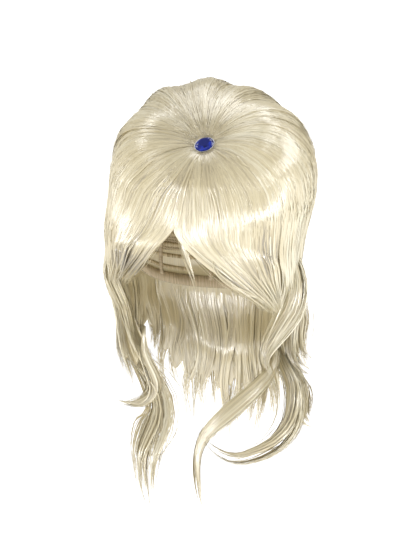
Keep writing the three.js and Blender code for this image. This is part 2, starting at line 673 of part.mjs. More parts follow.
// Place of the stone: the bottom of the setting's floor lies settingSink below the hair
function stonePlace() {
  const seat = hivePoint(whorlTurn, 0, -settingSink);
  const face = compass(whorlTurn, stoneTilt);
  const level = new THREE.Vector3(0, 0, 1).cross(face).normalize();
  const rise = new THREE.Vector3().crossVectors(face, level);
  const turn = radians(stoneTwist);
  const long = level.clone().multiplyScalar(Math.cos(turn)).addScaledVector(rise, Math.sin(turn));
  const short = new THREE.Vector3().crossVectors(face, long);
  return new THREE.Matrix4().makeBasis(long, short, face).setPosition(seat);
}

function placed(points, place) {
  return points.map((point) => point.clone().applyMatrix4(place));
}

// Faceted oval stone with a flat back, a girdle, two rows of facets and a table
function stoneSolid(place) {
  const back = settingFloor + clearance;
  const girdle = back + girdleHeight;
  const top = back + stoneHeight;
  const levels = [
    oval(stoneLength - backBevel, stoneWidth - backBevel, back),
    oval(stoneLength, stoneWidth, girdle - girdleHeight / 2),
    oval(stoneLength, stoneWidth, girdle),
    ...stoneCrown.map(({ rise, length, width, turned }) => (
      oval(stoneLength * length, stoneWidth * width, mix(girdle, top, rise), turned))),
  ];
  const ends = placed([new THREE.Vector3(0, 0, back), new THREE.Vector3(0, 0, top)], place);
  return ringMesh(ends[0], levels.map((level) => placed(level, place)), ends[1]);
}

// Oval cup that holds the stone by its lower edge; as a solid cup, grown by proud and as tall as the dimple
// is deep over the stone, it cuts the stone's seat in the hair
function settingSolid(place, proud, solidCup = false) {
  const coverHeight = settingFloor + stoneHeight + dimpleDepth;
  const side = 2 * (clearance + settingWall + proud);
  const gap = 2 * clearance;
  const rings = [
    oval(stoneLength + side, stoneWidth + side, -proud),
    oval(stoneLength + side, stoneWidth + side, solidCup ? coverHeight : settingHeight),
  ];
  if (!solidCup) {
    rings.push(oval(stoneLength + gap, stoneWidth + gap, settingHeight));
    rings.push(oval(stoneLength + gap, stoneWidth + gap, settingFloor));
  }
  const close = solidCup ? coverHeight : settingFloor;
  const ends = placed([new THREE.Vector3(0, 0, -proud), new THREE.Vector3(0, 0, close)], place);
  return ringMesh(ends[0], rings.map((ring) => placed(ring, place)), ends[1]);
}

function buildWig() {
  const wig = new THREE.Group();
  const hair = Object.fromEntries(Object.entries(hairTones).map(([key, tone]) => [key, hairMaterial(tone)]));
  const net = new THREE.MeshStandardMaterial({ color: 0xcfc3a4, roughness: 0.85, metalness: 0 });
  const silver = new THREE.MeshStandardMaterial({ color: 0xc4c6cc, roughness: 0.28, metalness: 0.9 });
  const blue = new THREE.MeshStandardMaterial({ color: 0x0b1c96, roughness: 0.08, metalness: 0.1 });
  const place = stonePlace();

  wig.add(meshFrom('wig_cap', capSolid(), net));
  const hive = hiveSolid(0).subtract(settingSolid(place, clearance, true));
  wig.add(meshFrom('beehive_crown', hive, hair.hive));
  wig.add(meshFrom('gem_setting', settingSolid(place, 0), silver));
  wig.add(meshFrom('gem_stone', stoneSolid(place), blue));

  // Each piece is cut clear of the grown pieces that it rests on or lies beside
  const grown = { headRoom: headRoomSolid(), hive: hiveSolid(clearance) };
  for (const [name, fall] of Object.entries(falls)) {
    const cutters = [grown.hive, grown.headRoom, ...fall.beside.map((other) => grown[other])];
    const solid = cutters.reduce((left, cutter) => left.subtract(cutter), fallSolid(fall, 0));
    grown[name] = fallSolid(fall, clearance);
    wig.add(meshFrom(name, solid, hair[fall.tone]));
  }

  const locks = [
    ['cheek_wave_right', cheekWaveRows, ['fringe_right', 'side_fall_right']],
    ['flip_lock_right', flipLockRows, ['side_fall_right', 'nape_fall']],
    ['chest_curl_right', chestCurlRows, ['side_fall_right', 'cheek_wave_right', 'flip_lock_right']],
    ['neck_strand_right', neckStrandRows, ['side_fall_right', 'cheek_wave_right', 'chest_curl_right']],
    ['shoulder_curl_right', shoulderCurlRows,
      ['side_fall_right', 'nape_fall', 'flip_lock_right', 'chest_curl_right']],
    ['flick_lock_left', flickLockRows, ['side_fall_left']],
    ['chest_lock_left', chestLockRows, ['side_fall_left', 'nape_fall', 'flick_lock_left']],
  ];
  for (const [name, rows, beside] of locks) {
    let solid = lockSolid(rows, 0).subtract(grown.hive);
    for (const other of beside) solid = solid.subtract(grown[other]);
    grown[name] = lockSolid(rows, clearance);
    wig.add(meshFrom(name, solid, hair.lock));
  }
  return wig;
}

export default buildWig();
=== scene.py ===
import math

import bpy
import numpy as np
from mathutils import Matrix, Vector


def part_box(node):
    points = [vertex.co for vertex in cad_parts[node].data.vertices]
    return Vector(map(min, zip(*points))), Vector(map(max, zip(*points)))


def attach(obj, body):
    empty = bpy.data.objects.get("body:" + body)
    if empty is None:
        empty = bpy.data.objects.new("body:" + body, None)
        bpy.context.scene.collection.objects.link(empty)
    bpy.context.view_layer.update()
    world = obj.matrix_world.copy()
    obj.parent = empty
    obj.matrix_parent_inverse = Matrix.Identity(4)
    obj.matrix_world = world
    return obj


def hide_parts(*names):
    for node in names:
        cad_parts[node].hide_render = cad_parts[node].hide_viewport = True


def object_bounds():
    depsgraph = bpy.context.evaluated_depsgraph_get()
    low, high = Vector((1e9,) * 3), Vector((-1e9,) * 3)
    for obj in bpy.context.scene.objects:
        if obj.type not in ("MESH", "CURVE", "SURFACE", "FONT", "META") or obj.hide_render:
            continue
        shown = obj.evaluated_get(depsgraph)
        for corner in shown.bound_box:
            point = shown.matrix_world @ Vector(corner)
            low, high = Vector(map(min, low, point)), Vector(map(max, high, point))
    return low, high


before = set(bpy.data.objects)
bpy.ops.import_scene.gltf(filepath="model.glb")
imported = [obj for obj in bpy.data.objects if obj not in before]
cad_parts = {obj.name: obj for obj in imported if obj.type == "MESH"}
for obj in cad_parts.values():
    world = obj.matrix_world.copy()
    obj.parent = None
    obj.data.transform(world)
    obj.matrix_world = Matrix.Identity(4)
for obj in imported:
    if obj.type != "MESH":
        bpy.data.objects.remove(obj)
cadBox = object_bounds()
print("frame loaded")

# The dome of hair, the same egg as the solid: metres, turns and rises in degrees.
# A turn is 0 at the front, which is -Y, and grows towards +X. Rolls are arches between two turns.
hive = {
    "halfWidth": 0.109, "frontDepth": 0.107, "backDepth": 0.112, "height": 0.098, "skirt": 0.26,
    "setBack": 0.010, "lean": 0.024, "leanSlope": 0.7, "lowerLean": 0.4,
    "rimFront": 0.034, "rimSide": 0.088, "rimNape": 0.122,
    "fanLift": 1.15, "fanSpread": 0.55, "fanFront": 14, "fanSide": 38, "fanNape": 60,
    "whorlTurn": 12.8, "whorlRise": 31.2, "dimpleDepth": 0.006, "dimpleSpread": 0.3,
    "rollHeight": 0.009, "rollStart": 0.45, "rollEnd": 0.6, "rollSoft": 0.75,
    "rollFrom": -50, "rollTo": (59, 93, 119, 146, 173, 212, 246, 278, 310),
    "rolls": (0.5, 0.45, 0.3, 0.4, 0.55, 0.6, 0.5, 0.35, 0.35),
    "frontSwell": 0.004, "frontTop": 0.022, "frontEdge": -0.036, "frontFoot": -0.075, "frontTurn": (40, 80),
    "swayRise": (-2.4, -1.3, -0.6, -0.15, 0.15, 0.55, 1.0),
    "sway": (-0.03, -0.05, -0.055, 0.005, 0.0, -0.03, -0.13),
}

# The cap's hollow, read from the cap's box and its wall
cap = {"wall": 0.0015, "dome": 0.095, "frontDrop": 0.031, "sideDrop": 0.105, "napeDrop": 0.138, "gap": 0.0003}
capLow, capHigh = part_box("wig_cap")
cap["halfWidth"] = (capHigh.x - capLow.x) / 2 - cap["wall"]
cap["halfLength"] = capHigh.y - cap["wall"]

# Hair that hangs below the dome: a column of values for each strand across a sheet.
# drop is a share of the hanging length, reach and belly of the dome's own width and depth,
# wave and thick of the sheet's depth; locks are the raised ones, as (across, width, overhang).
hang = {"length": 0.35, "skirtHold": 0.13, "depth": 0.013, "waves": 1.4, "waveStart": 0.3,
        "lockWidth": 0.030, "lockDepth": 0.014, "lockAxisSet": 0.060, "leadRun": 0.03, "leadFrom": 0.2,
        "rimBlend": 0.02, "napeTurns": (-125, 127), "edgeSlack": 1.6}
sheets = {
    "fringe_left": {
        "top": (-1, -17, -34, -46), "foot": (-40, -46, -51, -54),
        "drop": (0.3, 0.3, 0.31, 0.31), "reach": (0.93, 0.96, 0.98, 0.99),
        "belly": (0.0, 0.03, 0.03, 0.01), "wave": (0.05, 0.1, 0.1, 0.05),
        "thick": (0.55, 0.9, 0.9, 0.6), "sweep": 1.25, "lead": 0.7,
        "locks": ((0.1, 0.55, 0.02), (0.4, 0.75, 0.1), (0.72, 0.7, 0.06)),
    },
    "fringe_right": {
        "top": (0, 16, 34, 52, 63), "foot": (60, 64, 68, 71, 74),
        "drop": (0.36, 0.36, 0.365, 0.365, 0.36), "reach": (0.95, 0.97, 0.98, 0.98, 0.98),
        "belly": (0.01, 0.04, 0.04, 0.03, 0.02), "wave": (0.0, 0.08, 0.12, 0.1, 0.05),
        "thick": (0.55, 0.9, 0.9, 0.8, 0.5), "sweep": 1.25, "lead": 0.6,
        "locks": ((0.08, 0.65, 0.04), (0.36, 0.95, 0.05), (0.68, 0.9, 0.04)),
    },
    "side_fall_left": {
        "top": (-48, -60, -78, -98, -124), "foot": (-50, -58, -73, -94, -124),
        "drop": (0.53, 0.59, 0.61, 0.6, 0.58), "reach": (0.66, 0.76, 0.87, 0.92, 0.88),
        "belly": (0.06, 0.09, 0.08, 0.05, 0.02), "wave": (0.1, 0.2, 0.28, 0.28, 0.2),
        "thick": (0.5, 0.95, 1.0, 1.0, 0.6), "sweep": 1, "lead": 0.5,
        "locks": ((0.18, 0.9, 0.08), (0.48, 1.25, 0.16), (0.8, 1.2, 0.12)),
    },
    "side_fall_right": {
        "top": (66, 80, 95, 111, 128), "foot": (96, 100, 108, 120, 132),
        "drop": (0.47, 0.59, 0.62, 0.61, 0.58), "reach": (0.9, 0.88, 0.92, 0.92, 0.9),
        "belly": (0.0, 0.0, 0.02, 0.02, 0.01), "wave": (0.1, 0.2, 0.3, 0.3, 0.25),
        "thick": (0.5, 0.95, 1.0, 1.0, 0.6), "sweep": 1, "lead": 0.5,
        "locks": ((0.2, 0.75, 0.05), (0.5, 0.95, 0.12), (0.82, 0.9, 0.16)),
    },
    "nape_fall": {
        "top": (126, 147, 166, 188, 209, 233), "foot": (126, 147, 167, 187, 208, 235),
        "drop": (0.68, 0.8, 0.84, 0.85, 0.8, 0.69), "reach": (0.92, 0.98, 0.9, 0.9, 0.98, 0.92),
        "belly": (-0.01, 0.0, 0.02, 0.02, 0.0, -0.01), "wave": (0.3, 0.5, 0.6, 0.6, 0.5, 0.3),
        "thick": (0.6, 1.0, 1.1, 1.1, 1.0, 0.6), "sweep": 1, "lead": 0.5,
        "locks": ((0.2, 1.35, 0.14), (0.41, 1.4, 0.06), (0.61, 1.4, 0.12), (0.81, 1.35, 0.1)),
    },
}

# Separate locks from root to tip: side is a share of the dome's half width, fore of its front depth,
# drop of the hanging length, width and thick of a lock's.
locks = {
    "cheek_wave_right": {
        "side": (0.84, 0.9, 0.88, 0.8, 0.71, 0.665, 0.68, 0.72),
        "fore": (-0.02, 0.0, 0.06, 0.14, 0.25, 0.3, 0.29, 0.25),
        "drop": (0.225, 0.3, 0.37, 0.425, 0.475, 0.515, 0.55, 0.585),
        "width": (0.35, 0.6, 0.7, 0.68, 0.6, 0.45, 0.28, 0.08),
        "thick": (0.5, 0.72, 0.78, 0.75, 0.7, 0.6, 0.45, 0.15),
    },
    "flip_lock_right": {
        "side": (0.8, 0.86, 0.86, 0.88, 0.96, 1.05), "fore": (-0.2, -0.2, -0.14, -0.08, -0.04, -0.05),
        "drop": (0.36, 0.42, 0.47, 0.52, 0.555, 0.58), "width": (0.45, 0.75, 0.85, 0.95, 0.85, 0.3),
        "thick": (0.45, 0.7, 0.8, 0.9, 0.8, 0.3),
    },
    "chest_curl_right": {
        "side": (0.7, 0.8, 0.92, 0.975, 0.965, 0.86, 0.69, 0.5, 0.31, 0.17),
        "fore": (-0.11, 0.0, 0.14, 0.29, 0.43, 0.57, 0.67, 0.74, 0.78, 0.77),
        "drop": (0.53, 0.57, 0.61, 0.662, 0.712, 0.756, 0.785, 0.8, 0.775, 0.735),
        "width": (0.36, 0.55, 0.64, 0.66, 0.66, 0.62, 0.56, 0.46, 0.3, 0.08),
        "thick": (0.45, 0.6, 0.7, 0.75, 0.75, 0.7, 0.65, 0.55, 0.4, 0.15),
    },
    "neck_strand_right": {
        "side": (0.71, 0.66, 0.53, 0.36, 0.2, 0.125, 0.125, 0.15, 0.17),
        "fore": (0.06, 0.3, 0.46, 0.59, 0.66, 0.7, 0.74, 0.75, 0.75),
        "drop": (0.545, 0.59, 0.635, 0.685, 0.735, 0.79, 0.85, 0.91, 0.965),
        "width": (0.3, 0.4, 0.5, 0.55, 0.5, 0.4, 0.4, 0.32, 0.08),
        "thick": (0.4, 0.5, 0.5, 0.5, 0.5, 0.45, 0.4, 0.35, 0.15),
    },
    "shoulder_curl_right": {
        "side": (0.78, 0.9, 0.95, 0.97, 1.05), "fore": (-0.22, -0.12, -0.06, -0.02, -0.04),
        "drop": (0.585, 0.635, 0.68, 0.72, 0.75), "width": (0.5, 0.85, 0.95, 0.85, 0.2),
        "thick": (0.5, 0.8, 0.9, 0.8, 0.3),
    },
    "fringe_wisp": {
        "side": (0.0, 0.05, 0.1, 0.145, 0.179), "fore": (0.92, 0.95, 0.94, 0.91, 0.88),
        "drop": (0.09, 0.14, 0.195, 0.25, 0.305), "width": (0.1, 0.22, 0.24, 0.18, 0.05),
        "thick": (0.1, 0.12, 0.12, 0.1, 0.05),
    },
    "flick_lock_left": {
        "side": (-0.565, -0.52, -0.5, -0.56, -0.68, -0.79, -0.88),
        "fore": (0.4, 0.3, 0.25, 0.25, 0.265, 0.28, 0.29),
        "drop": (0.515, 0.59, 0.645, 0.682, 0.702, 0.703, 0.695),
        "width": (0.35, 0.6, 0.6, 0.5, 0.33, 0.2, 0.07), "thick": (0.4, 0.6, 0.58, 0.5, 0.38, 0.25, 0.12),
    },
    "chest_lock_left": {
        "side": (-0.85, -0.68, -0.48, -0.42, -0.455, -0.49, -0.48, -0.455, -0.43),
        "fore": (0.05, 0.1, 0.21, 0.34, 0.45, 0.53, 0.58, 0.6, 0.61),
        "drop": (0.53, 0.6, 0.665, 0.72, 0.775, 0.835, 0.895, 0.95, 1.0),
        "width": (0.45, 0.7, 1.0, 1.3, 1.45, 1.45, 1.2, 0.8, 0.2),
        "thick": (0.4, 0.6, 0.8, 0.9, 0.95, 0.95, 0.8, 0.6, 0.25),
    },
}


# Value a share of the way from a start to an end
def mix(start, end, share):
    return start + (end - start) * share


# Eased step: three times the square less twice the cube
def smooth(share):
    held = np.clip(share, 0, 1)
    return held * held * (3 - 2 * held)


# Eased share of the way from one value to another
def easedFrom(value, low, high=1):
    return smooth((value - low) / (high - low))


# Sum of the products of two vectors' three parts
def dot(first, second):
    return np.sum(first * second, axis=-1, keepdims=True)


# Vectors divided by their own lengths
def unit(vectors):
    return vectors / np.maximum(np.linalg.norm(vectors, axis=-1, keepdims=True), 1e-12)


# Way out made square to the way ahead: less its own part along it
def squareTo(outward, ahead):
    return unit(outward - dot(outward, ahead) * ahead)


# Points plus their ways out times a distance each
def moved(points, outward, distance):
    return points + outward * distance[..., None]


# Travel along paths: the running sum of their steps' lengths
def travelAlong(paths):
    steps = np.linalg.norm(np.diff(paths, axis=-2), axis=-1)
    return np.concatenate([np.zeros_like(steps[..., :1]), np.cumsum(steps, axis=-1)], axis=-1)


# Vectors at a place between marks: each of their three parts changes evenly from mark to mark
def vectorsAt(place, marks, vectors):
    return np.stack([np.interp(place, marks, vectors[:, k]) for k in range(3)], axis=-1)


# Direction of a turn and a rise: east is the sine of the turn, front its cosine, both by the rise's cosine
def compass(turn, rise):
    t, r = np.radians(turn), np.radians(rise)
    flat = np.cos(r)
    return np.stack(np.broadcast_arrays(flat * np.sin(t), -flat * np.cos(t), np.sin(r)), axis=-1)


# The same turn, counted within the full turn that begins at the first
def turnFrom(turn, first):
    return (turn - first) % 360 + first


# Cubic curve through the rows of a column, at a share of the way through them: its slope at a row is half
# the step from the row before to the row after
def between(column, share):
    rows = np.asarray(column, float)
    place = np.clip(share, 0, 1) * (len(rows) - 1)
    row = np.minimum(place.astype(int), len(rows) - 2)
    t = place - row
    before, here, after, beyond = (rows[np.clip(row + k, 0, len(rows) - 1)] for k in (-1, 0, 1, 2))
    rise, run = (after - before) / 2, (beyond - here) / 2
    cube = 2 * here - 2 * after + rise + run
    square = 3 * after - 3 * here - 2 * rise - run
    return ((cube * t + square) * t + rise) * t + here


# Eased steps between uneven levels, each by its share of the way from one level to the next
def atLevel(levels, column, level):
    levels, column = np.asarray(levels, float), np.asarray(column, float)
    upper = np.clip(np.searchsorted(levels, level, side="right"), 1, len(levels) - 1)
    share = (level - levels[upper - 1]) / (levels[upper] - levels[upper - 1])
    return mix(column[upper - 1], column[upper], smooth(share))


# Value noise: random heights at whole numbers, eased between them
def ripple(place, seed, count=4096):
    heights = np.random.default_rng(seed).uniform(-1, 1, count)
    cell = np.floor(place).astype(int)
    return mix(heights[cell % count], heights[(cell + 1) % count], smooth(place - cell))


# Uneven cells over a stretch: edges at the running sum of random steps, and a random height for each cell
def makeCells(low, high, count, seeds, steps=(0.5, 1.5), heights=(0.35, 1)):
    widths = np.random.default_rng(seeds[0]).uniform(*steps, count)
    edges = low + (high - low) * np.concatenate([[0], np.cumsum(widths) / np.sum(widths)])
    return {"edges": edges, "tall": np.random.default_rng(seeds[1]).uniform(*heights, len(edges))}


# Cell that a place lies in, and its place across the cell from minus one to one
def cellAt(edges, place):
    cell = np.clip(np.searchsorted(edges, place, side="right") - 1, 0, len(edges) - 2)
    return cell, 2 * (place - edges[cell]) / (edges[cell + 1] - edges[cell]) - 1


# Arch over each cell: its height times one less the square of the place across it
def archOf(cells, place):
    cell, across = cellAt(cells["edges"], place)
    return cells["tall"][cell] * np.maximum(1 - across ** 2, 0)


# Drop that passes three values at the front, the sides and the nape: a curve of the second degree
def dropAround(front, side, nape, turn):
    back = (1 - np.cos(np.radians(turn))) / 2
    ahead = 1 - back
    return front * ahead * (ahead - back) + side * 4 * back * ahead + nape * back * (back - ahead)


# Drop of the dome's rim, round its three values
def rimDrop(turn):
    return dropAround(hive["rimFront"], hive["rimSide"], hive["rimNape"], turn)


# Lean back at a height: above, the height times a slope that grows to one; below, it tires towards a limit
def leanAt(height):
    share = height / hive["height"]
    above = np.maximum(share, 0)
    foot = hive["lowerLean"] * np.tanh(hive["leanSlope"] / hive["lowerLean"] * np.minimum(share, 0))
    return hive["lean"] * (above * mix(hive["leanSlope"], 1, above) + foot)


# Shift sideways at a height: the table's share of the half width
def swayAt(height):
    return hive["halfWidth"] * atLevel(hive["swayRise"], hive["sway"], height / hive["height"])


# Turn at which a strand bends: a share of its way round from the whorl in front, all of it behind
def bendTurn(turn):
    around = turnFrom(turn - hive["whorlTurn"], -180)
    return hive["whorlTurn"] + around * mix(hive["fanSpread"], 1, (1 - np.cos(np.radians(around))) / 2)


# Direction of a combed strand: a curve of the second degree from the whorl over a raised middle to the rim
def strandHeading(turn, along):
    s = along[..., None]
    rim = compass(turn, np.degrees(np.arcsin(-rimDrop(turn) / hive["skirt"])))
    middle = compass(bendTurn(turn), dropAround(hive["fanFront"], hive["fanSide"], hive["fanNape"], turn))
    whorl = compass(hive["whorlTurn"], hive["whorlRise"])
    return unit((1 - s) ** 2 * whorl + 2 * s * (1 - s) * hive["fanLift"] * middle + s ** 2 * rim)


# Combed rolls, each an arch between two grooves whose valleys the hair rounds off, less the dimple's bell
def hairRelief(turn, along):
    edges = np.asarray((hive["rollFrom"],) + hive["rollTo"], float)
    row, across = cellAt(edges, turnFrom(turn, hive["rollFrom"]))
    swell = smooth(along / hive["rollStart"]) * (1 - easedFrom(along, hive["rollEnd"]))
    arched = mix(1 - across ** 2, (1 + np.cos(np.pi * across)) / 2, hive["rollSoft"])
    arch = np.asarray(hive["rolls"])[row] * hive["rollHeight"] * arched * swell
    return arch - hive["dimpleDepth"] * np.exp(-(along / hive["dimpleSpread"]) ** 2)


# Swell of the hair over the fringe, where the rolls end: it eases in down to an edge and out again below,
# and is held to the front by an eased turn
def frontAt(turn, height):
    full, none = hive["frontTurn"]
    ahead = 1 - easedFrom(np.abs(turnFrom(turn, -180)), full, none)
    onto = easedFrom(height, hive["frontTop"], hive["frontEdge"])
    off = 1 - easedFrom(height, hive["frontEdge"], hive["frontFoot"])
    return hive["frontSwell"] * ahead * onto * off


# Place on the dome: the leaning egg in the strand's direction, raised by the relief; and the way out there
def domePlace(turn, along):
    east, back, up = np.moveaxis(strandHeading(turn, along), -1, 0)
    depth = np.where(back < 0, hive["frontDepth"], hive["backDepth"])
    reach = np.where(up > 0, hive["height"], hive["skirt"])
    height = up * reach
    point = np.stack([east * hive["halfWidth"] + swayAt(height),
                      back * depth + hive["setBack"] + leanAt(height), height], axis=-1)
    outward = unit(np.stack([east / hive["halfWidth"], back / depth, up / reach], axis=-1))
    return moved(point, outward, hairRelief(turn, along) + frontAt(turn, height)), outward


# Place a given distance outside the cap's hollow, a half egg, from its top (share 0) to the rim (share 1)
def capPoint(turn, share, distance):
    drop = dropAround(cap["frontDrop"], cap["sideDrop"], cap["napeDrop"], turn)
    polar = np.arccos(1 - drop / cap["dome"]) * share
    t = np.radians(turn)
    return np.stack([(cap["halfWidth"] + distance) * np.sin(polar) * np.sin(t),
                     -(cap["halfLength"] + distance) * np.sin(polar) * np.cos(t),
                     (cap["dome"] + distance) * np.cos(polar) - cap["dome"]], axis=-1)


# Place on a hanging sheet: it keeps to the dome's own section at its height, narrowed by the reach,
# and waves in and out; with it the level way out and the hair's depth there
def sheetPlace(sheet, across, along):
    held, settled = np.maximum(along, 0), np.clip(along, 0, 1)
    top = between(sheet["top"], across)
    turn = mix(top, between(sheet["foot"], across), held ** sheet["sweep"])
    height = mix(-rimDrop(top), -between(sheet["drop"], across) * hang["length"], held)
    reach = mix(1, between(sheet["reach"], across), settled ** 2)
    reach = reach + between(sheet["belly"], across) * np.sin(np.pi * settled)
    slope = np.clip(-height, 0, hang["skirtHold"]) / hive["skirt"]
    narrowing = np.sqrt(1 - slope ** 2) * reach
    outward = compass(turn, 0 * turn)
    east, back = outward[..., 0], outward[..., 1]
    depth = np.where(back < 0, hive["frontDepth"], hive["backDepth"])
    point = np.stack([narrowing * hive["halfWidth"] * east + swayAt(height),
                      narrowing * depth * back + hive["setBack"] + leanAt(height), height], axis=-1)
    wave = between(sheet["wave"], across) * hang["depth"] * np.sin(2 * np.pi * hang["waves"] * held)
    point = moved(point, outward, wave * smooth(held / hang["waveStart"]) + frontAt(turn, height))
    return point, outward, between(sheet["thick"], across) * hang["depth"]


# Length of each strand on the dome and below it, for strands at even turns and even places across
samples = {"turns": 181, "along": 41, "across": 61}
lengthTurns = np.linspace(hive["rollFrom"], hive["rollFrom"] + 360, samples["turns"])
alongSteps = np.linspace(0, 1, samples["along"])
domeLengths = travelAlong(domePlace(*np.meshgrid(lengthTurns, alongSteps, indexing="ij"))[0])[:, -1]
for sheet in sheets.values():
    sheet["acrossSteps"] = np.linspace(0, 1, samples["across"])
    sheet["topSteps"] = between(sheet["top"], sheet["acrossSteps"])
    grid = sheetPlace(sheet, *np.meshgrid(sheet["acrossSteps"], alongSteps, indexing="ij"))[0]
    sheet["lengths"] = travelAlong(grid)[:, -1]

# Stone's own frame: long way, short way and face, with its seat in the dimple. Hair by it dives under the
# seat by the depths coreUnder and hairUnder, out to clear times the setting, and comes back over ease of it.
stone = {"length": 0.0205, "width": 0.0162, "tilt": 52, "twist": 42, "sink": 0.002, "wall": 0.0007,
         "gap": 0.0003, "coreUnder": 0.0006, "hairUnder": 0.0003, "above": 0.03, "clear": 1.04, "ease": 0.3}
whorlPoint, whorlOut = domePlace(np.array([hive["whorlTurn"]]), np.array([0.0]))
stoneFace = compass(hive["whorlTurn"], stone["tilt"])
stoneLevel = unit(np.cross((0, 0, 1), stoneFace))
stoneRise = np.cross(stoneFace, stoneLevel)
twist = math.radians(stone["twist"])
stoneLong = stoneLevel * math.cos(twist) + stoneRise * math.sin(twist)
stoneShort = np.cross(stoneFace, stoneLong)
stoneSeat = whorlPoint[0] - whorlOut[0] * stone["sink"]


# Hair near the stone: what stands above a depth under its seat there is pressed down along its face
def clearStone(points, depth):
    offset = points - stoneSeat
    side = stone["gap"] + stone["wall"]
    longWay = offset @ stoneLong / (stone["length"] / 2 + side)
    shortWay = offset @ stoneShort / (stone["width"] / 2 + side)
    up = offset @ stoneFace
    near = 1 - smooth((np.hypot(longWay, shortWay) - stone["clear"]) / stone["ease"])
    return moved(points, stoneFace, -np.maximum(up + depth, 0) * (up < stone["above"]) * near)


# Mesh part: points with faces of four or three, a place across and along the hair in metres, and a tone.
# Points with the same crease number, one or two, share a sharp edge where they are joined. The faces are
# turned over where the sum of their triple products, six times the volume, is less than nothing.
def part(points, quads, triangles, uv, tone, crease=None):
    flat = points.reshape(-1, 3)
    crease = np.zeros(len(flat), int) if crease is None else crease
    faces = np.concatenate([quads[:, :3], quads[:, [0, 2, 3]], triangles]) if len(quads) else triangles
    a, b, c = (flat[faces[:, k]] for k in range(3))
    if np.sum(dot(a, np.cross(b, c))) < 0:
        quads, triangles = quads[:, ::-1], triangles[:, ::-1]
    return {"points": flat, "quads": quads, "triangles": triangles, "uv": uv.reshape(-1, 2),
            "tone": tone.reshape(-1), "crease": crease}


# Faces of four between each row of points and the next, from each point to the one that follows it
def gridFaces(index, following):
    corners = [index[..., :-1, :], index[..., 1:, :], following[..., 1:, :], following[..., :-1, :]]
    return np.stack(corners, axis=-1).reshape(-1, 4)


# Closed surface from rings of points, each closed on itself, with a pole at either end
def ringPart(startPoint, rings, endPoint, uvRings, toneRings):
    rows, count = rings.shape[:2]
    index = np.arange(rows * count).reshape(rows, count) + 1
    following = np.roll(index, -1, axis=1)
    top = np.stack([np.zeros(count, int), index[0], following[0]], axis=-1)
    foot = np.stack([index[-1], np.full(count, rows * count + 1), following[-1]], axis=-1)
    points = np.concatenate([startPoint[None], rings.reshape(-1, 3), endPoint[None]])
    uv = np.concatenate([uvRings[0, :1], uvRings.reshape(-1, 2), uvRings[-1, :1]])
    tone = np.concatenate([toneRings[0, :1], toneRings.reshape(-1), toneRings[-1, :1]])
    return part(points, gridFaces(index, following), np.concatenate([top, foot]), uv, tone)


# Closed flat sheet from an outer and an inner grid: rings out and back, with a cover at the top and the foot
def sheetPart(outer, inner, uvGrid, toneGrid):
    rows, columns = outer.shape[:2]
    index = np.arange(rows * 2 * columns).reshape(rows, 2 * columns)
    quads = [gridFaces(index, np.roll(index, -1, axis=1))]
    for row, flip in ((0, 1), (rows - 1, -1)):
        near, far = index[row, :columns], index[row, :columns - 1:-1]
        cover = np.stack([near[:-1], near[1:], far[1:], far[:-1]], axis=-1)
        quads.append(cover[:, ::flip])
    points = np.concatenate([outer, inner[:, ::-1]], axis=1)
    uv = np.concatenate([uvGrid, uvGrid[:, ::-1]], axis=1)
    tone = np.concatenate([toneGrid, toneGrid[:, ::-1]], axis=1)
    return part(points, np.concatenate(quads), np.zeros((0, 3), int), uv, tone)


# Strands as flat closed ribbons with three sides: half a breadth to either side of the path, and a low ridge
# over it at a share of that. Each strand's place on the map is drawn at random, so that no two are alike.
def hairPart(paths, outward, halfWidth, tone, ridge=0.32, scatter=(7, 3)):
    count, steps = paths.shape[:2]
    ahead = unit(np.gradient(paths, axis=1))
    face = squareTo(outward, ahead)
    sideways = np.cross(ahead, face)
    w = halfWidth[..., None] + np.zeros((count, steps, 1))
    rings = np.stack([paths + sideways * w, paths + face * w * ridge, paths - sideways * w], axis=2)
    index = np.arange(count * steps * 3).reshape(count, steps, 3)
    ends = np.concatenate([index[:, 0], index[:, -1, ::-1]])
    place = np.random.default_rng(count).uniform(0, 1, (count, 1, 1))
    u = place * scatter[0] + w * np.array([1.0, 0.0, -1.0])
    v = travelAlong(paths)[..., None] + place * scatter[1] + 0 * u
    shade = tone.reshape(count, 1, 1) * np.ones((1, steps, 3))
    crease = np.tile([1, 0, 2], count * steps)
    quads = gridFaces(index, np.roll(index, -1, axis=2))
    return part(rings, quads, ends, np.stack([u, v], axis=-1), shade, crease)


# Outline of a strand: full along its middle and eased in at its root and tip
def taperOf(share, root=0.4, rootEnd=0.15, tip=0.12, tipStart=0.6):
    return mix(root, 1, smooth(share / rootEnd)) * mix(1, tip, easedFrom(share, tipStart))


# Half breadth and tone of each strand: most are fine, by a power of a random share, and the tones scatter
# round the given ones
def strandLook(random, look, tone, share):
    broad = mix(*look["widths"], random.random(len(tone)) ** look["fineness"])
    tones = np.clip(tone + random.normal(0, look["toneScatter"], len(tone)), look["toneFloor"], 1)
    return broad[:, None] * taperOf(share), tones


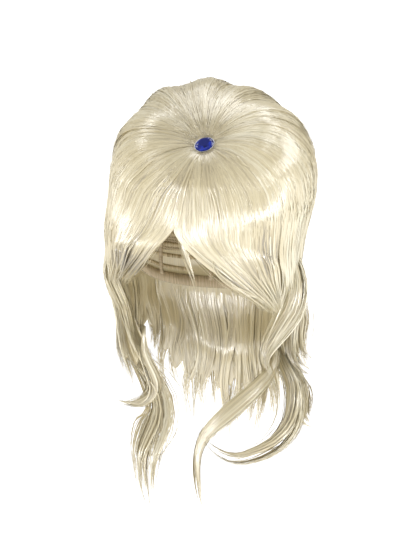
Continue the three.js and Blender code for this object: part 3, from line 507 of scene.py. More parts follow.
# Painted shade over and under the fringe and on the crown, and painted highlights where the depth is below
# nothing. Each is a bell round a place, with its reach, its depth and how far it breaks up into streaks.
paintedShadeAndHighlights = {
    "over the fringe": ((-0.006, -0.112, 0.016), (0.05, 0.04, 0.026), 0.3, 0.3),
    "foot of the left fringe": ((-0.057, -0.085, -0.074), (0.036, 0.04, 0.022), 0.5, 0.3),
    "foot of the right fringe": ((0.068, -0.085, -0.08), (0.036, 0.04, 0.024), 0.26, 0.4),
    "under the right fringe": ((0.083, -0.052, -0.062), (0.011, 0.03, 0.026), 0.9, 0.9),
    "crown": ((0.0, 0.01, 0.115), (0.06, 0.05, 0.02), 0.12, 0.3),
    "left of the crown": ((-0.07, -0.02, 0.07), (0.035, 0.06, 0.03), -0.16, 0.4),
    "right of the crown": ((0.07, 0.0, 0.07), (0.035, 0.06, 0.03), -0.16, 0.4),
    "right fall": ((0.1, -0.02, -0.1), (0.03, 0.05, 0.08), -0.45, 0.2),
    "left fall": ((-0.09, -0.03, -0.16), (0.03, 0.05, 0.05), -0.2, 0.4),
}
paintedLightStreaks = {"mean": 0.5, "swing": 0.9, "across": 700, "seed": 9}


# Tone painted with shade and highlights: less each place's depth times its bell, which streaks break up
def paintedLightAndShade(points, across):
    look = paintedLightStreaks
    streaks = look["mean"] + look["swing"] * ripple(across * look["across"], look["seed"])
    tone = np.zeros(len(points))
    for place, reach, depth, streak in paintedShadeAndHighlights.values():
        near = np.exp(-np.sum(((points - np.array(place)) / np.array(reach)) ** 2, axis=1))
        tone -= depth * near * mix(1, streaks, streak)
    return tone


# One kind of row from all parts, one after another, each raised by its part's first number
def joined(parts, kind, firsts):
    return np.concatenate([p[kind] + first for p, first in zip(parts, firsts)])


triangleCounts = {}


# Piece from mesh parts: their points one after another, and faces whose numbers count on from part to part
def makePiece(name, parts, material, nodes, slotName):
    starts = np.cumsum([0] + [len(p["points"]) for p in parts])
    plain = ("points", "uv", "tone", "crease")
    points, uv, shade, crease = (joined(parts, kind, 0 * starts) for kind in plain)
    quads, triangles = (joined(parts, kind, starts) for kind in ("quads", "triangles"))
    corners = np.concatenate([quads.ravel(), triangles.ravel()]).astype(np.int32)
    # Hair takes the painted shade and highlights on top of its own tone
    if slotName == "hair":
        shade = shade + paintedLightAndShade(points, uv[:, 0])
    mesh = bpy.data.meshes.new(name)
    mesh.vertices.add(len(points))
    mesh.vertices.foreach_set("co", points.astype(np.float32).ravel())
    mesh.loops.add(len(corners))
    mesh.loops.foreach_set("vertex_index", corners)
    firsts = np.concatenate([np.arange(len(quads)) * 4, len(quads) * 4 + np.arange(len(triangles)) * 3])
    mesh.polygons.add(len(firsts))
    mesh.polygons.foreach_set("loop_start", firsts.astype(np.int32))
    mesh.update(calc_edges=True)
    uvLayer = mesh.uv_layers.new(name="combed")
    uvLayer.data.foreach_set("uv", uv[corners].astype(np.float32).ravel())
    tone = mesh.attributes.new("tone", "FLOAT", "POINT")
    tone.data.foreach_set("value", shade.astype(np.float32))
    mesh.polygons.foreach_set("use_smooth", np.ones(len(firsts), bool))
    pairs = np.zeros(len(mesh.edges) * 2, np.int32)
    mesh.edges.foreach_get("vertices", pairs)
    marks = crease[pairs.reshape(-1, 2)]
    sharp = mesh.attributes.new("sharp_edge", "BOOLEAN", "EDGE")
    sharp.data.foreach_set("value", (marks[:, 0] == marks[:, 1]) & (marks[:, 0] > 0))
    mesh.materials.append(material)
    piece = bpy.data.objects.new(name, mesh)
    bpy.context.scene.collection.objects.link(piece)
    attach(piece, "root")
    if nodes:
        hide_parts(*nodes)
    triangleCounts[name] = len(quads) * 2 + len(triangles)
    print(name, triangleCounts[name], "triangles")


# Sets a node's sockets by name: another node's socket is wired in, anything else becomes its value
def setSockets(tree, node, sockets):
    for name, value in sockets.items():
        if isinstance(value, bpy.types.NodeSocket):
            tree.links.new(value, node.inputs[name])
        else:
            node.inputs[name].default_value = value


# Shader node of a kind at a place, with its sockets and settings
def addNode(tree, kind, x, y, sockets, **settings):
    node = tree.nodes.new("ShaderNode" + kind)
    node.location = (x, y)
    for name, value in settings.items():
        setattr(node, name, value)
    setSockets(tree, node, sockets)
    return node


# Material with an empty tree, and the tree
def newMaterial(name):
    material = bpy.data.materials.new(name)
    material.use_nodes = True
    material.node_tree.nodes.clear()
    return material, material.node_tree


# Shader with these sockets, wired to the material's output
def addShader(tree, sockets):
    shader = addNode(tree, "BsdfPrincipled", 600, 0, sockets)
    addNode(tree, "OutputMaterial", 900, 0, {"Surface": shader.outputs["BSDF"]})


# Colours along a source, as a list of places with a colour each, mixed evenly in between
def addRamp(tree, x, y, source, stops):
    node = addNode(tree, "ValToRGB", x, y, {"Fac": source})
    elements = node.color_ramp.elements
    elements.remove(elements[1])
    elements[0].position, elements[0].color = stops[0][0], (*stops[0][1], 1)
    for place, colour in stops[1:]:
        elements.new(place).color = (*colour, 1)
    return node.outputs["Color"]


# Source from nought to one, stretched from a low to a high value
def addRange(tree, x, y, source, low, high):
    return addNode(tree, "MapRange", x, y, {"Value": source, "To Min": low, "To Max": high}).outputs["Result"]


# Bumps as high as the source times a distance
def addBump(tree, x, y, source, strength, distance, **settings):
    sockets = {"Height": source, "Strength": strength, "Distance": distance}
    return addNode(tree, "Bump", x, y, sockets, **settings).outputs["Normal"]


# Streaks along the hair: noise on the combed map, squeezed across the hair and drawn out along it
def addStreaks(tree, x, y, across, along, detail=3.0):
    uvMap = addNode(tree, "UVMap", x, y, {}, uv_map="combed")
    sockets = {"Vector": uvMap.outputs["UV"], "Scale": (across, along, 1)}
    mapping = addNode(tree, "Mapping", x + 180, y, sockets)
    sockets = {"Vector": mapping.outputs["Vector"], "Scale": 1.0, "Detail": detail, "Roughness": 0.6}
    return addNode(tree, "TexNoise", x + 360, y, sockets, noise_dimensions="2D").outputs["Fac"]


# Colours run from the deepest to the lightest; streaks count across a metre of hair and runs along it
hairLook = {
    "colours": ((0.0, (0.21, 0.165, 0.085)), (0.2, (0.42, 0.345, 0.185)), (0.5, (0.59, 0.5, 0.285)),
                (0.95, (0.75, 0.69, 0.50))),
    "streaks": 1100.0, "runs": 8.0, "streakShare": 0.5, "toneDrop": 0.25, "roughness": (0.25, 0.34),
    "specular": 0.9, "ior": 2.0, "anisotropy": 0.85, "bump": 0.3, "bumpDistance": 0.0003,
}


# Hair: its colour is read at the streaks' share plus the tone at its points, which is the strand's own tone
# with the painted shade and highlights added, and its shine is stretched
def hairMaterial(name, look):
    material, tree = newMaterial(name)
    streaks = addStreaks(tree, -900, 200, look["streaks"], look["runs"])
    tone = addNode(tree, "Attribute", -720, -220, {}, attribute_name="tone").outputs["Fac"]
    lower = addNode(tree, "Math", -520, -220, {0: tone, 1: look["toneDrop"]}, operation="SUBTRACT").outputs[0]
    blend = addNode(tree, "Math", -340, 60, {0: streaks, 1: look["streakShare"], 2: lower},
                    operation="MULTIPLY_ADD").outputs[0]
    tangent = addNode(tree, "Tangent", 350, -560, {}, direction_type="UV_MAP", uv_map="combed")
    addShader(tree, {
        "Base Color": addRamp(tree, -140, 60, blend, look["colours"]),
        "Roughness": addRange(tree, 150, -200, streaks, *look["roughness"]),
        "Normal": addBump(tree, 350, -400, streaks, look["bump"], look["bumpDistance"]),
        "Tangent": tangent.outputs["Tangent"], "Anisotropic": look["anisotropy"],
        "Specular IOR Level": look["specular"], "IOR": look["ior"]})
    return material


hairFinish = hairMaterial("combed_blonde_hair", hairLook)

# Dome: a grooved surface under combed hairs, in two halves. Places along are shares of the way from the whorl
# to the rim; roots are such shares, and tips are lengths beyond the rim, of which a share ends early.
domeLook = {
    "columns": 420, "rows": 44, "insideRows": 4, "sunk": 0.0012, "breadth": 0.68, "fall": 0.25,
    "insideStep": 0.015, "tone": 0.3, "grooveShade": 0.25, "locks": 40, "lockRelief": 0.0010,
    "lockSeeds": (11, 21), "grooves": 240, "grooveRelief": 0.0003, "grooveSeeds": (12, 22),
    "reliefFrom": 0.04, "reliefOver": 0.3, "wave": 2.5, "waveAlong": 5, "waveAround": 9,
    "steps": 14, "widths": (0.0004, 0.0012), "fineness": 1.5, "roots": (0.045, 0.495), "rootPower": 1.6,
    "tips": (-0.02, 0.045), "early": 0.35, "earlyBy": (0.02, 0.12), "lift": (-0.0006, 0.0005),
    "flyShare": 0.02, "fly": (0.0008, 0.0025), "wander": (2.2, 1.2, 0.6), "wanderWaves": (1, 2, 5),
    "fadeRun": 0.05, "fadeStart": 0.2, "rootEase": 0.1, "tipEase": 0.12, "endSink": 0.0012,
    "rootWidth": 0.3, "rootSpread": 0.4, "hairTone": 0.54, "toneWave": 0.14, "toneTurn": 7,
    "toneScatter": 0.09, "toneFloor": 0.05,
}
domeHalves = {
    "crown_hair_front": {"turns": (-96, 96), "hairs": 1900, "seed": 5},
    "crown_hair_back": {"turns": (96, 264), "hairs": 1400, "seed": 6},
}
domeRound = (hive["rollFrom"], hive["rollFrom"] + 360)
lockCells = makeCells(*domeRound, domeLook["locks"], domeLook["lockSeeds"])
grooveCells = makeCells(*domeRound, domeLook["grooves"], domeLook["grooveSeeds"])


# Small locks on the dome: arches across the strands that wave a little round it, eased in from the whorl
def domeLocks(turn, along):
    look = domeLook
    around = turnFrom(turn, hive["rollFrom"])
    waved = around + look["wave"] * np.sin(look["waveAlong"] * along + around / look["waveAround"])
    coarse = archOf(lockCells, waved) * look["lockRelief"]
    fine = archOf(grooveCells, around) * look["grooveRelief"]
    return (coarse + fine) * smooth((along - look["reliefFrom"]) / look["reliefOver"])


# Core of the dome as one closed surface: rings from the whorl down to the rim, sunk under the hairs, and up
# again over the cap
def buildDomeBase():
    look = domeLook
    turns = hive["rollFrom"] + np.arange(look["columns"]) * 360 / look["columns"]
    shares = np.linspace(0, 1, look["rows"] + 1)[1:]
    turn, along = np.meshgrid(turns, shares)
    point, outward = domePlace(turn, along)
    outer = clearStone(moved(point, outward, domeLocks(turn, along) - look["sunk"]), stone["coreUnder"])
    overCap = cap["wall"] + cap["gap"]
    inner = capPoint(*np.meshgrid(turns, np.linspace(1, 0, look["insideRows"] + 1)[:-1]), overCap)
    rings = np.concatenate([outer, inner])
    across = np.broadcast_to(turns / 360 * look["breadth"], rings.shape[:2])
    insideTravel = look["fall"] + np.arange(1, look["insideRows"] + 1) * look["insideStep"]
    travel = np.concatenate([shares * look["fall"], insideTravel])
    uv = np.stack([across, np.broadcast_to(travel[:, None], across.shape)], axis=-1)
    # The core's tone is painted shade: darker than the hairs over it, and darker still down in its grooves
    tone = np.broadcast_to(look["tone"] + look["grooveShade"] * archOf(grooveCells, turns), across.shape)
    start = clearStone(whorlPoint[0] - whorlOut[0] * look["sunk"], stone["coreUnder"])
    base = ringPart(start, rings, capPoint(0.0, 0.0, overCap), uv, tone)
    makePiece("crown_base", [base], hairFinish, ["beehive_crown"], "hair")


# Name of the sheet that the hair at a turn hangs into: the one whose top reaches there, or else the back one
def sheetAt(turn):
    wrapped = turnFrom(turn, -180)
    if hang["napeTurns"][0] <= wrapped <= hang["napeTurns"][1]:
        for name, sheet in sheets.items():
            low, high = sorted((sheet["top"][0], sheet["top"][-1]))
            if low - hang["edgeSlack"] <= wrapped <= high + hang["edgeSlack"]:
                return name
    return "nape_fall"


# Dome above the rim and sheet below it, as a place and a way out each; the ways out are blended over a run
def joinAtRim(run, blend, dome, sheet):
    share = smooth(run / blend + 0.5)[..., None]
    return np.where((run > 0)[..., None], sheet[0], dome[0]), unit(mix(dome[1], sheet[1], share))


# Place at a run beyond the rim, in metres: on the dome where it is negative, on the sheet below otherwise.
# Above the rim a swept strand leads into its sweep, by a turn that falls off with the run.
def combedPlace(sheet, turn, run):
    order = np.argsort(sheet["topSteps"])
    across = np.interp(turn, sheet["topSteps"][order], sheet["acrossSteps"][order])
    length = np.interp(across, sheet["acrossSteps"], sheet["lengths"])
    pace = (between(sheet["foot"], across) - between(sheet["top"], across)) / length
    ahead = hang["leadRun"] * (1 - np.exp(np.minimum(run, 0) / hang["leadRun"]))
    lead = sheet["lead"] * pace * smooth(across / hang["leadFrom"]) * ahead
    around = turnFrom(turn - lead, hive["rollFrom"])
    along = np.clip(1 + run / np.interp(around, lengthTurns, domeLengths), 0, 1)
    onDome, outDome = domePlace(around, along)
    onDome = moved(onDome, outDome, domeLocks(around, along))
    below = sheetPlace(sheet, across, np.maximum(run, 0) / length)
    return joinAtRim(run, hang["rimBlend"], (onDome, outDome), below)


# Hairs of the dome between two turns, each from near the whorl to a little below the rim. They wander by the
# sum of three sines, fly off by half a sine where they are loose, and sink at both ends.
def domeHairs(turnsFrom, turnsTo, count, seed):
    look = domeLook
    random = np.random.default_rng(seed)
    turns = mix(turnsFrom, turnsTo, (np.arange(count) + random.uniform(0, 1, count)) / count)
    share = np.linspace(0, 1, look["steps"])[None, :]
    start = mix(*look["roots"], random.uniform(0, 1, count) ** look["rootPower"])
    stop = random.uniform(*look["tips"], count)
    early = random.random(count) < look["early"]
    stop = np.where(early, -random.uniform(*look["earlyBy"], count), stop)
    lift = random.uniform(*look["lift"], count)
    fly = (random.random(count) < look["flyShare"]) * random.uniform(*look["fly"], count)
    wander = random.uniform(-1, 1, (count, 3)) * np.array(look["wander"])
    waves = np.sin(np.pi * np.array(look["wanderWaves"])[:, None] * share)
    ends = smooth(share / look["rootEase"]) * smooth((1 - share) / look["tipEase"])
    owners = np.array([sheetAt(turn) for turn in turns])
    parts = []
    for name in sheets:
        mine = owners == name
        if not mine.any():
            continue
        base = turns[mine]
        domeLength = np.interp(turnFrom(base, hive["rollFrom"]), lengthTurns, domeLengths)[:, None]
        run = mix(-domeLength * (1 - start[mine, None]), stop[mine, None], share)
        wrapped = turnFrom(base, 0 if name == "nape_fall" else -180)[:, None]
        turn = wrapped + smooth(look["fadeStart"] - run / look["fadeRun"]) * (wander[mine] @ waves)
        point, outward = combedPlace(sheets[name], turn, run)
        height = lift[mine, None] + fly[mine, None] * np.sin(np.pi * share) - look["endSink"] * (1 - ends)
        point = clearStone(moved(point, outward, height), stone["hairUnder"])
        tone = look["hairTone"] + look["toneWave"] * ripple(base / look["toneTurn"], seed)
        width, tone = strandLook(random, look, tone, share)
        spread = smooth((run + domeLength) / domeLength / look["rootSpread"])
        parts.append(hairPart(point, outward, width * mix(look["rootWidth"], 1, spread), tone))
    return parts


# Hanging sheets: a grooved core under hairs that gather into locks, and raised locks over them. hem is how
# far down the core ends at its first edge, hemBack at its last; locks are how many the hairs gather into.
sheetLooks = {
    "fringe_left": {"columns": 60, "rows": 22, "hem": 0.74, "hairs": 620, "steps": 15, "seed": 31,
                    "locks": 9},
    "fringe_right": {"columns": 80, "rows": 24, "hem": 0.74, "hairs": 860, "steps": 15, "seed": 41,
                     "locks": 12},
    "side_fall_left": {"columns": 80, "rows": 28, "hem": 0.88, "hemBack": 0.62, "hairs": 860, "steps": 16,
                       "seed": 51, "locks": 8, "curl": 0.022, "over": 0.05, "lockEnds": (0.0, 0.13),
                       "uneven": 0.2, "outside": 0.6},
    "side_fall_right": {"columns": 80, "rows": 28, "hem": 0.8, "hemBack": 0.64, "hairs": 860, "steps": 16,
                        "seed": 61, "locks": 8, "curl": 0.018, "over": 0.02, "uneven": 0.24, "outside": 0.68},
    "nape_fall": {"columns": 100, "rows": 30, "hem": 0.66, "hairs": 820, "steps": 16, "seed": 71, "locks": 11,
                  "curl": 0.032, "over": 0.04, "lockEnds": (-0.12, 0.1), "outside": 0.6},
}
sheetShared = {
    "breadth": 0.14, "mapStart": 0.3, "shadedCoreTone": 0.25, "grooves": 5, "lockSeeds": (5, 2),
    "grooveSeeds": (6, 3), "raisedSeed": 7, "edgeLock": 0.6, "edgeFrom": 0.15, "lockRelief": 0.0022,
    "grooveRelief": 0.0006, "sunk": 0.001, "hemFrom": 0.2, "hemOver": 0.5, "hemNoise": 0.03, "hemWaves": 31,
    "hemLocks": 0.14, "lap": 0.04, "lapRise": 0.2, "swell": 0.35, "edgeThin": 0.7, "edgePower": 4,
    "rootThick": 0.4, "rootOver": 0.3,
    "coreFoot": 0.08, "coreSink": 0.3, "coreDepth": 0.8, "hairFoot": 0.25, "insideDepth": 0.85,
    "insideOver": 0.15, "insideSink": 0.001, "over": 0.0, "lockEnds": (-0.06, 0.08), "uneven": 0.3,
    "unevenPower": 1.3, "roots": (0.02, 0.09), "gatherFrom": 0.35, "gather": (0.6, 0.95), "swing": 0.03,
    "swingFrom": 0.4, "curl": 0.0, "curlTurns": 1.25, "curlPhase": 0.35, "curlOver": 0.25, "stray": 0.012,
    "outside": 0.74, "rimBlend": 0.03, "layers": (-0.0012, 0.0007), "rootRun": 0.03, "rootSink": 0.0016,
    "wisp": 0.0035, "edgeOver": 0.1, "widths": (0.0004, 0.0013), "fineness": 1.5, "hairTone": 0.5,
    "toneWave": 0.16, "toneWaves": 17, "toneScatter": 0.1, "toneFloor": 0.05,
}


# Share of a sheet's full depth at a place: less by a power of the way to its edges, and less at its root
def sheetRounding(look, across, along):
    edge = 1 - look["edgeThin"] * np.abs(2 * across - 1) ** look["edgePower"]
    return edge * mix(look["rootThick"], 1, smooth(along / look["rootOver"]))


# Core of a hanging sheet: grooved outside and inside, thin at its foot, with an uneven hem
def sheetBase(sheet, look):
    across = np.linspace(0, 1, look["columns"] + 1)
    hem = mix(look["hem"], look["hemBack"], smooth((across - look["hemFrom"]) / look["hemOver"]))
    hem = hem + look["hemNoise"] * ripple(across * look["hemWaves"], look["seed"])
    hem = hem + look["hemLocks"] * archOf(sheet["lockCells"], across)
    a, s = np.meshgrid(across, np.linspace(0, 1, look["rows"] + 1))
    along = mix(-look["lap"], hem[None, :], s)
    point, outward, thick = sheetPlace(sheet, a, along)
    point = moved(point, np.array((0, 0, 1.0)), np.maximum(-along, 0) * look["lapRise"])
    groove = archOf(sheet["grooveCells"], a)
    coarse = archOf(sheet["lockCells"], a) * look["lockRelief"] * smooth(along / look["swell"])
    fine = groove * look["grooveRelief"]
    rounding = sheetRounding(look, a, along) * mix(1, look["coreFoot"], smooth(s) ** 2)
    sunk = look["sunk"] + look["coreSink"] * thick * (1 - rounding)
    outer = moved(point, outward, coarse + fine - sunk)
    inner = moved(point, outward, fine - sunk - look["coreDepth"] * thick * rounding)
    travel = along * np.interp(a, sheet["acrossSteps"], sheet["lengths"]) + look["mapStart"]
    uv = np.stack([a * look["breadth"], travel], axis=-1)
    # Its tone is painted shade: darker than the hairs over it, and darkest in its grooves
    return sheetPart(outer, inner, uv, look["shadedCoreTone"] * (1 + groove))


# Hairs of a hanging sheet: they start on the dome, gather into locks and end in points. Past the edges of the
# sheet they go on sideways, by the share past the edge times the sheet's breadth over the rim.
def sheetHairs(sheet, look):
    random = np.random.default_rng(look["seed"])
    count, edges = look["hairs"], sheet["lockCells"]["edges"]
    column = (count, 1)
    share = np.linspace(0, 1, look["steps"])[None, :]
    order = (np.arange(count)[:, None] + random.uniform(0, 1, column)) / count
    base = mix(-look["over"], 1 + look["over"], order)
    cell = cellAt(edges, base)[0]
    cellStop = 1 + random.uniform(*look["lockEnds"], len(edges))[cell]
    stop = cellStop - random.random(column) ** look["unevenPower"] * look["uneven"]
    start = -random.uniform(*look["roots"], column)
    length = np.interp(base, sheet["acrossSteps"], sheet["lengths"])
    run = mix(start, stop * length, share)
    along = run / length
    pull = easedFrom(along / cellStop, look["gatherFrom"]) * random.uniform(*look["gather"], column)
    swing = random.uniform(-1, 1, len(edges))[cell] * look["swing"]
    phase = random.uniform(0, look["curlPhase"], len(edges))[cell]
    curl = look["curl"] * np.sin(2 * np.pi * (look["curlTurns"] * along + phase))
    across = mix(base, (edges[cell] + edges[cell + 1]) / 2, pull)
    across = across + swing * easedFrom(along, look["swingFrom"])
    across = across + curl * smooth(along / look["curlOver"])
    across = across + look["stray"] * random.normal(0, 1, column) * along.clip(0) ** 2
    outside = random.random(column) < look["outside"]
    onSheet = across.clip(0, 1)
    belowPoint, belowOut, thick = sheetPlace(sheet, onSheet, np.maximum(along, 0))
    above = combedPlace(sheet, between(sheet["top"], base) + 0 * run, np.minimum(run, 0))
    point, outward = joinAtRim(run, look["rimBlend"], above, (belowPoint, belowOut))
    lift = archOf(sheet["lockCells"], base) * look["lockRelief"] * smooth(along / look["swell"])
    layer = random.uniform(*look["layers"], column)
    deep = thick * sheetRounding(look, base, along) * mix(1, look["hairFoot"], smooth(along) ** 2)
    inside = -look["insideDepth"] * deep * smooth(along / look["insideOver"]) - look["insideSink"]
    unrooted = 1 - smooth((run - start) / look["rootRun"])
    height = layer + np.where(outside, lift, inside) - look["rootSink"] * unrooted * np.where(outside, 1, 2)
    wisp = random.normal(0, 1, column) * look["wisp"] * along.clip(0) ** 3
    point = moved(point, outward, height + wisp)
    breadth = math.radians(sheet["top"][-1] - sheet["top"][0]) * hive["halfWidth"]
    edgeOut = (across - onSheet) * breadth * smooth(along / look["edgeOver"])
    point = clearStone(moved(point, np.cross(outward, (0, 0, 1.0)), -edgeOut), stone["hairUnder"])
    facing = np.where((outside | (run < 0))[..., None], outward, -outward)
    tone = look["hairTone"] + look["toneWave"] * ripple(base[:, 0] * look["toneWaves"], look["seed"])
    return hairPart(point, facing, *strandLook(random, look, tone, share))


# Raised locks: strands and hairs in each, and shares of the way down it or of the sheet's depth
raisedLook = {"strands": 4, "hairs": 54, "steps": 16, "start": 0.02, "grownAt": 0.3, "rootSink": 0.003,
              "rootWidth": 0.25, "tipWidth": 0.12, "tipFrom": 0.6, "depth": 0.55, "rootDepth": 0.45,
              "deepAt": 0.35, "inward": 0.55}


# Frame of a raised lock that runs down a sheet: its middle, the ways sideways and out, half width and depth.
# It grows from its root, tapers to its tip and lies sunk in the sheet by a share of its depth.
def raisedLock(sheet, across, width, overhang):
    look = raisedLook
    stretch = 1 + overhang
    along = np.linspace(look["start"], stretch, look["steps"])
    point, outward, thick = sheetPlace(sheet, np.full(look["steps"], float(across)), along)
    grown = smooth(along / look["grownAt"])
    point = moved(point, outward, -look["rootSink"] * (1 - grown))
    tip = easedFrom(along, look["tipFrom"], stretch)
    taper = mix(look["rootWidth"], 1, grown) * mix(1, look["tipWidth"], tip)
    halfWidth = width * hang["lockWidth"] * taper / 2
    halfDepth = look["depth"] * thick * taper * mix(look["rootDepth"], 1, smooth(along / look["deepAt"]))
    ahead = unit(np.gradient(point, axis=0))
    face = squareTo(outward, ahead)
    return moved(point, face, -look["inward"] * halfDepth), np.cross(ahead, face), face, halfWidth, halfDepth


# Separate locks: those that start further out than farOut have their roots sunk deeper. full and wisp are
# strands and hairs in a lock and in the wisp.
looseLook = {"steps": 24, "farOut": 0.75, "farRoot": 0.87, "nearRoot": 0.97, "rootWidth": 0.5,
             "rootThick": 0.3, "full": (11, 280), "wisp": (5, 26), "seed": 100}


# A table with one more row above the first: the lock's root, slim and sunk into the hair it leaves
def rooted(rows):
    look = looseLook
    inward = look["farRoot"] if abs(rows["side"][0]) > look["farOut"] else look["nearRoot"]
    first = {"side": rows["side"][0] * inward, "fore": rows["fore"][0],
             "drop": 2 * rows["drop"][0] - rows["drop"][1],
             "width": rows["width"][0] * look["rootWidth"], "thick": rows["thick"][0] * look["rootThick"]}
    return {column: (first[column], *values) for column, values in rows.items()}


# Frame of a separate lock from its table: an oval section, flat to an upright axis behind the wig's middle
def looseLock(table):
    share = np.linspace(0, 1, looseLook["steps"])
    side, fore, drop, width, thick = (between(values, share) for values in rooted(table).values())
    centre = np.stack([side * hive["halfWidth"], -fore * hive["frontDepth"], -drop * hang["length"]], axis=-1)
    ahead = unit(np.gradient(centre, axis=0))
    outward = np.stack([centre[:, 0], centre[:, 1] - hang["lockAxisSet"], 0 * share], axis=-1)
    face = squareTo(outward, ahead)
    return centre, np.cross(ahead, face), face, width * hang["lockWidth"] / 2, thick * hang["lockDepth"] / 2


lockLook = {
    "sides": 24, "fill": 0.4, "fillFrom": 0.35, "fillOver": 0.5, "least": 0.02, "flutes": 7,
    "fluteDepth": 0.14, "breadth": 0.008, "shadedCoreTone": 0.45, "jitter": 0.3, "radius": (0.45, 1.0),
    "sway": (0.06, 0.28),
    "pace": (0.6, 1.5), "twist": (0.6, 0.7), "short": 0.16, "strandTone": (0.54, 0.19), "late": 0.12,
    "lateShare": 0.5, "early": 0.22, "fineness": 1.5, "gather": 0.88, "gatherFrom": 0.35, "loose": 2.2,
    "looseShare": 0.08, "spread": 0.34, "slim": 0.001, "steps": 14, "widths": (0.00025, 0.0008),
    "toneScatter": 0.17, "toneFloor": 0.02,
}


# A lock: a slim fluted core that ends early, under strands that each keep their own way through its section
# and their own length: a turn that grows along it plus a sine sideways. A strand's hairs meet at its tip.
def lockParts(shape, strands, hairs, seed):
    centre, sideways, face, halfWidth, halfDepth = shape
    look = lockLook
    random = np.random.default_rng(seed)
    marks = np.linspace(0, 1, len(centre))
    angle = np.arange(look["sides"]) * 2 * np.pi / look["sides"]
    flute = 1 - look["fluteDepth"] * np.abs(np.sin(look["flutes"] * angle / 2 + seed))
    body = look["fill"] * (1 - smooth((marks - look["fillFrom"]) / look["fillOver"])) + look["least"]
    rings = moved(centre[:, None], sideways[:, None], (halfWidth * body)[:, None] * np.cos(angle) * flute)
    rings = moved(rings, face[:, None], (halfDepth * body)[:, None] * np.sin(angle) * flute)
    uv = np.stack(np.broadcast_arrays(angle[None] * look["breadth"], travelAlong(centre)[:, None]), axis=-1)
    # Its tone is painted shade: darker than the strands round it, and darker down in its flutes
    tone = look["shadedCoreTone"] * np.broadcast_to(flute, (len(centre), look["sides"]))
    core = ringPart(centre[0], rings, centre[-1], uv, tone)
    jitter = random.uniform(-look["jitter"], look["jitter"], strands)
    theta = (np.arange(strands) + jitter) * 2 * np.pi / strands
    radius, sway = random.uniform(*look["radius"], strands), random.uniform(*look["sway"], strands)
    pace, phase = random.uniform(*look["pace"], strands), random.uniform(0, 1, strands)
    twist, reach = random.normal(*look["twist"], strands), 1 - random.uniform(0, look["short"], strands)
    shade = random.normal(*look["strandTone"], strands)
    reach[0] = 1
    column = (hairs, 1)
    owner = (np.arange(hairs) % strands)[:, None]
    share = np.linspace(0, 1, look["steps"])[None, :]
    start = random.uniform(0, look["late"], column) * (random.random(column) < look["lateShare"])
    stop = reach[owner] - random.random(column) ** look["fineness"] * look["early"]
    place = mix(start, stop, share)
    close = 1 - look["gather"] * easedFrom(place / reach[owner], look["gatherFrom"])
    loose = mix(1, look["loose"], random.random(hairs) < look["looseShare"])
    drift = look["spread"] * (random.normal(0, 1, (2, hairs)) * loose)[..., None] * close
    wide, deep = np.interp(place, marks, halfWidth), np.interp(place, marks, halfDepth)
    spin = theta[owner] + twist[owner] * place
    wave = sway[owner] * np.sin(2 * np.pi * (pace[owner] * place + phase[owner]))
    east = wide * (radius[owner] * np.cos(spin) + wave + drift[0])
    out = deep * (radius[owner] * np.sin(spin) + drift[1])
    side, front = unit(vectorsAt(place, marks, sideways)), unit(vectorsAt(place, marks, face))
    path = moved(moved(vectorsAt(place, marks, centre), side, east), front, out)
    outward = moved(0 * side, side, east / (wide + look["slim"]) ** 2)
    outward = unit(moved(outward, front, out / (deep + look["slim"]) ** 2))
    return [core, hairPart(path, outward, *strandLook(random, look, shade[owner[:, 0]], share))]


# One hanging sheet: its core, its hairs and its raised locks, each with a seed of its own
def buildSheet(name):
    sheet = sheets[name]
    look = {**sheetShared, "hemBack": sheetLooks[name]["hem"], **sheetLooks[name]}
    lockSeeds = [look["seed"] + step for step in look["lockSeeds"]]
    grooveSeeds = [look["seed"] + step for step in look["grooveSeeds"]]
    sheet["lockCells"] = makeCells(0, 1, look["locks"], lockSeeds)
    sheet["grooveCells"] = makeCells(0, 1, look["locks"] * look["grooves"], grooveSeeds)
    parts = [sheetBase(sheet, look), sheetHairs(sheet, look)]
    for k, (across, width, overhang) in enumerate(sheet["locks"]):
        slim = look["edgeLock"] if across < look["edgeFrom"] else 1
        shape = raisedLock(sheet, across, width * slim, overhang)
        seed = look["seed"] + look["raisedSeed"] + k
        parts += lockParts(shape, raisedLook["strands"], raisedLook["hairs"], seed)
    makePiece(name + "_hair", parts, hairFinish, [name], "hair")


# One separate lock. The wisp has no node of its own, and no core.
def buildLock(name, table, seed):
    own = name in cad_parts
    parts = lockParts(looseLock(table), *looseLook["full" if own else "wisp"], seed)
    makePiece(name + "_hair", parts if own else parts[1:], hairFinish, [name] if own else [], "hair")


buildDomeBase()
for halfName, half in domeHalves.items():
    makePiece(halfName, domeHairs(*half["turns"], half["hairs"], half["seed"]), hairFinish, [], "hair")
for sheetName in sheets:
    buildSheet(sheetName)
for k, (lockName, table) in enumerate(locks.items()):
    buildLock(lockName, table, looseLook["seed"] + k)
print("hair combed", sum(triangleCounts.values()), "triangles")

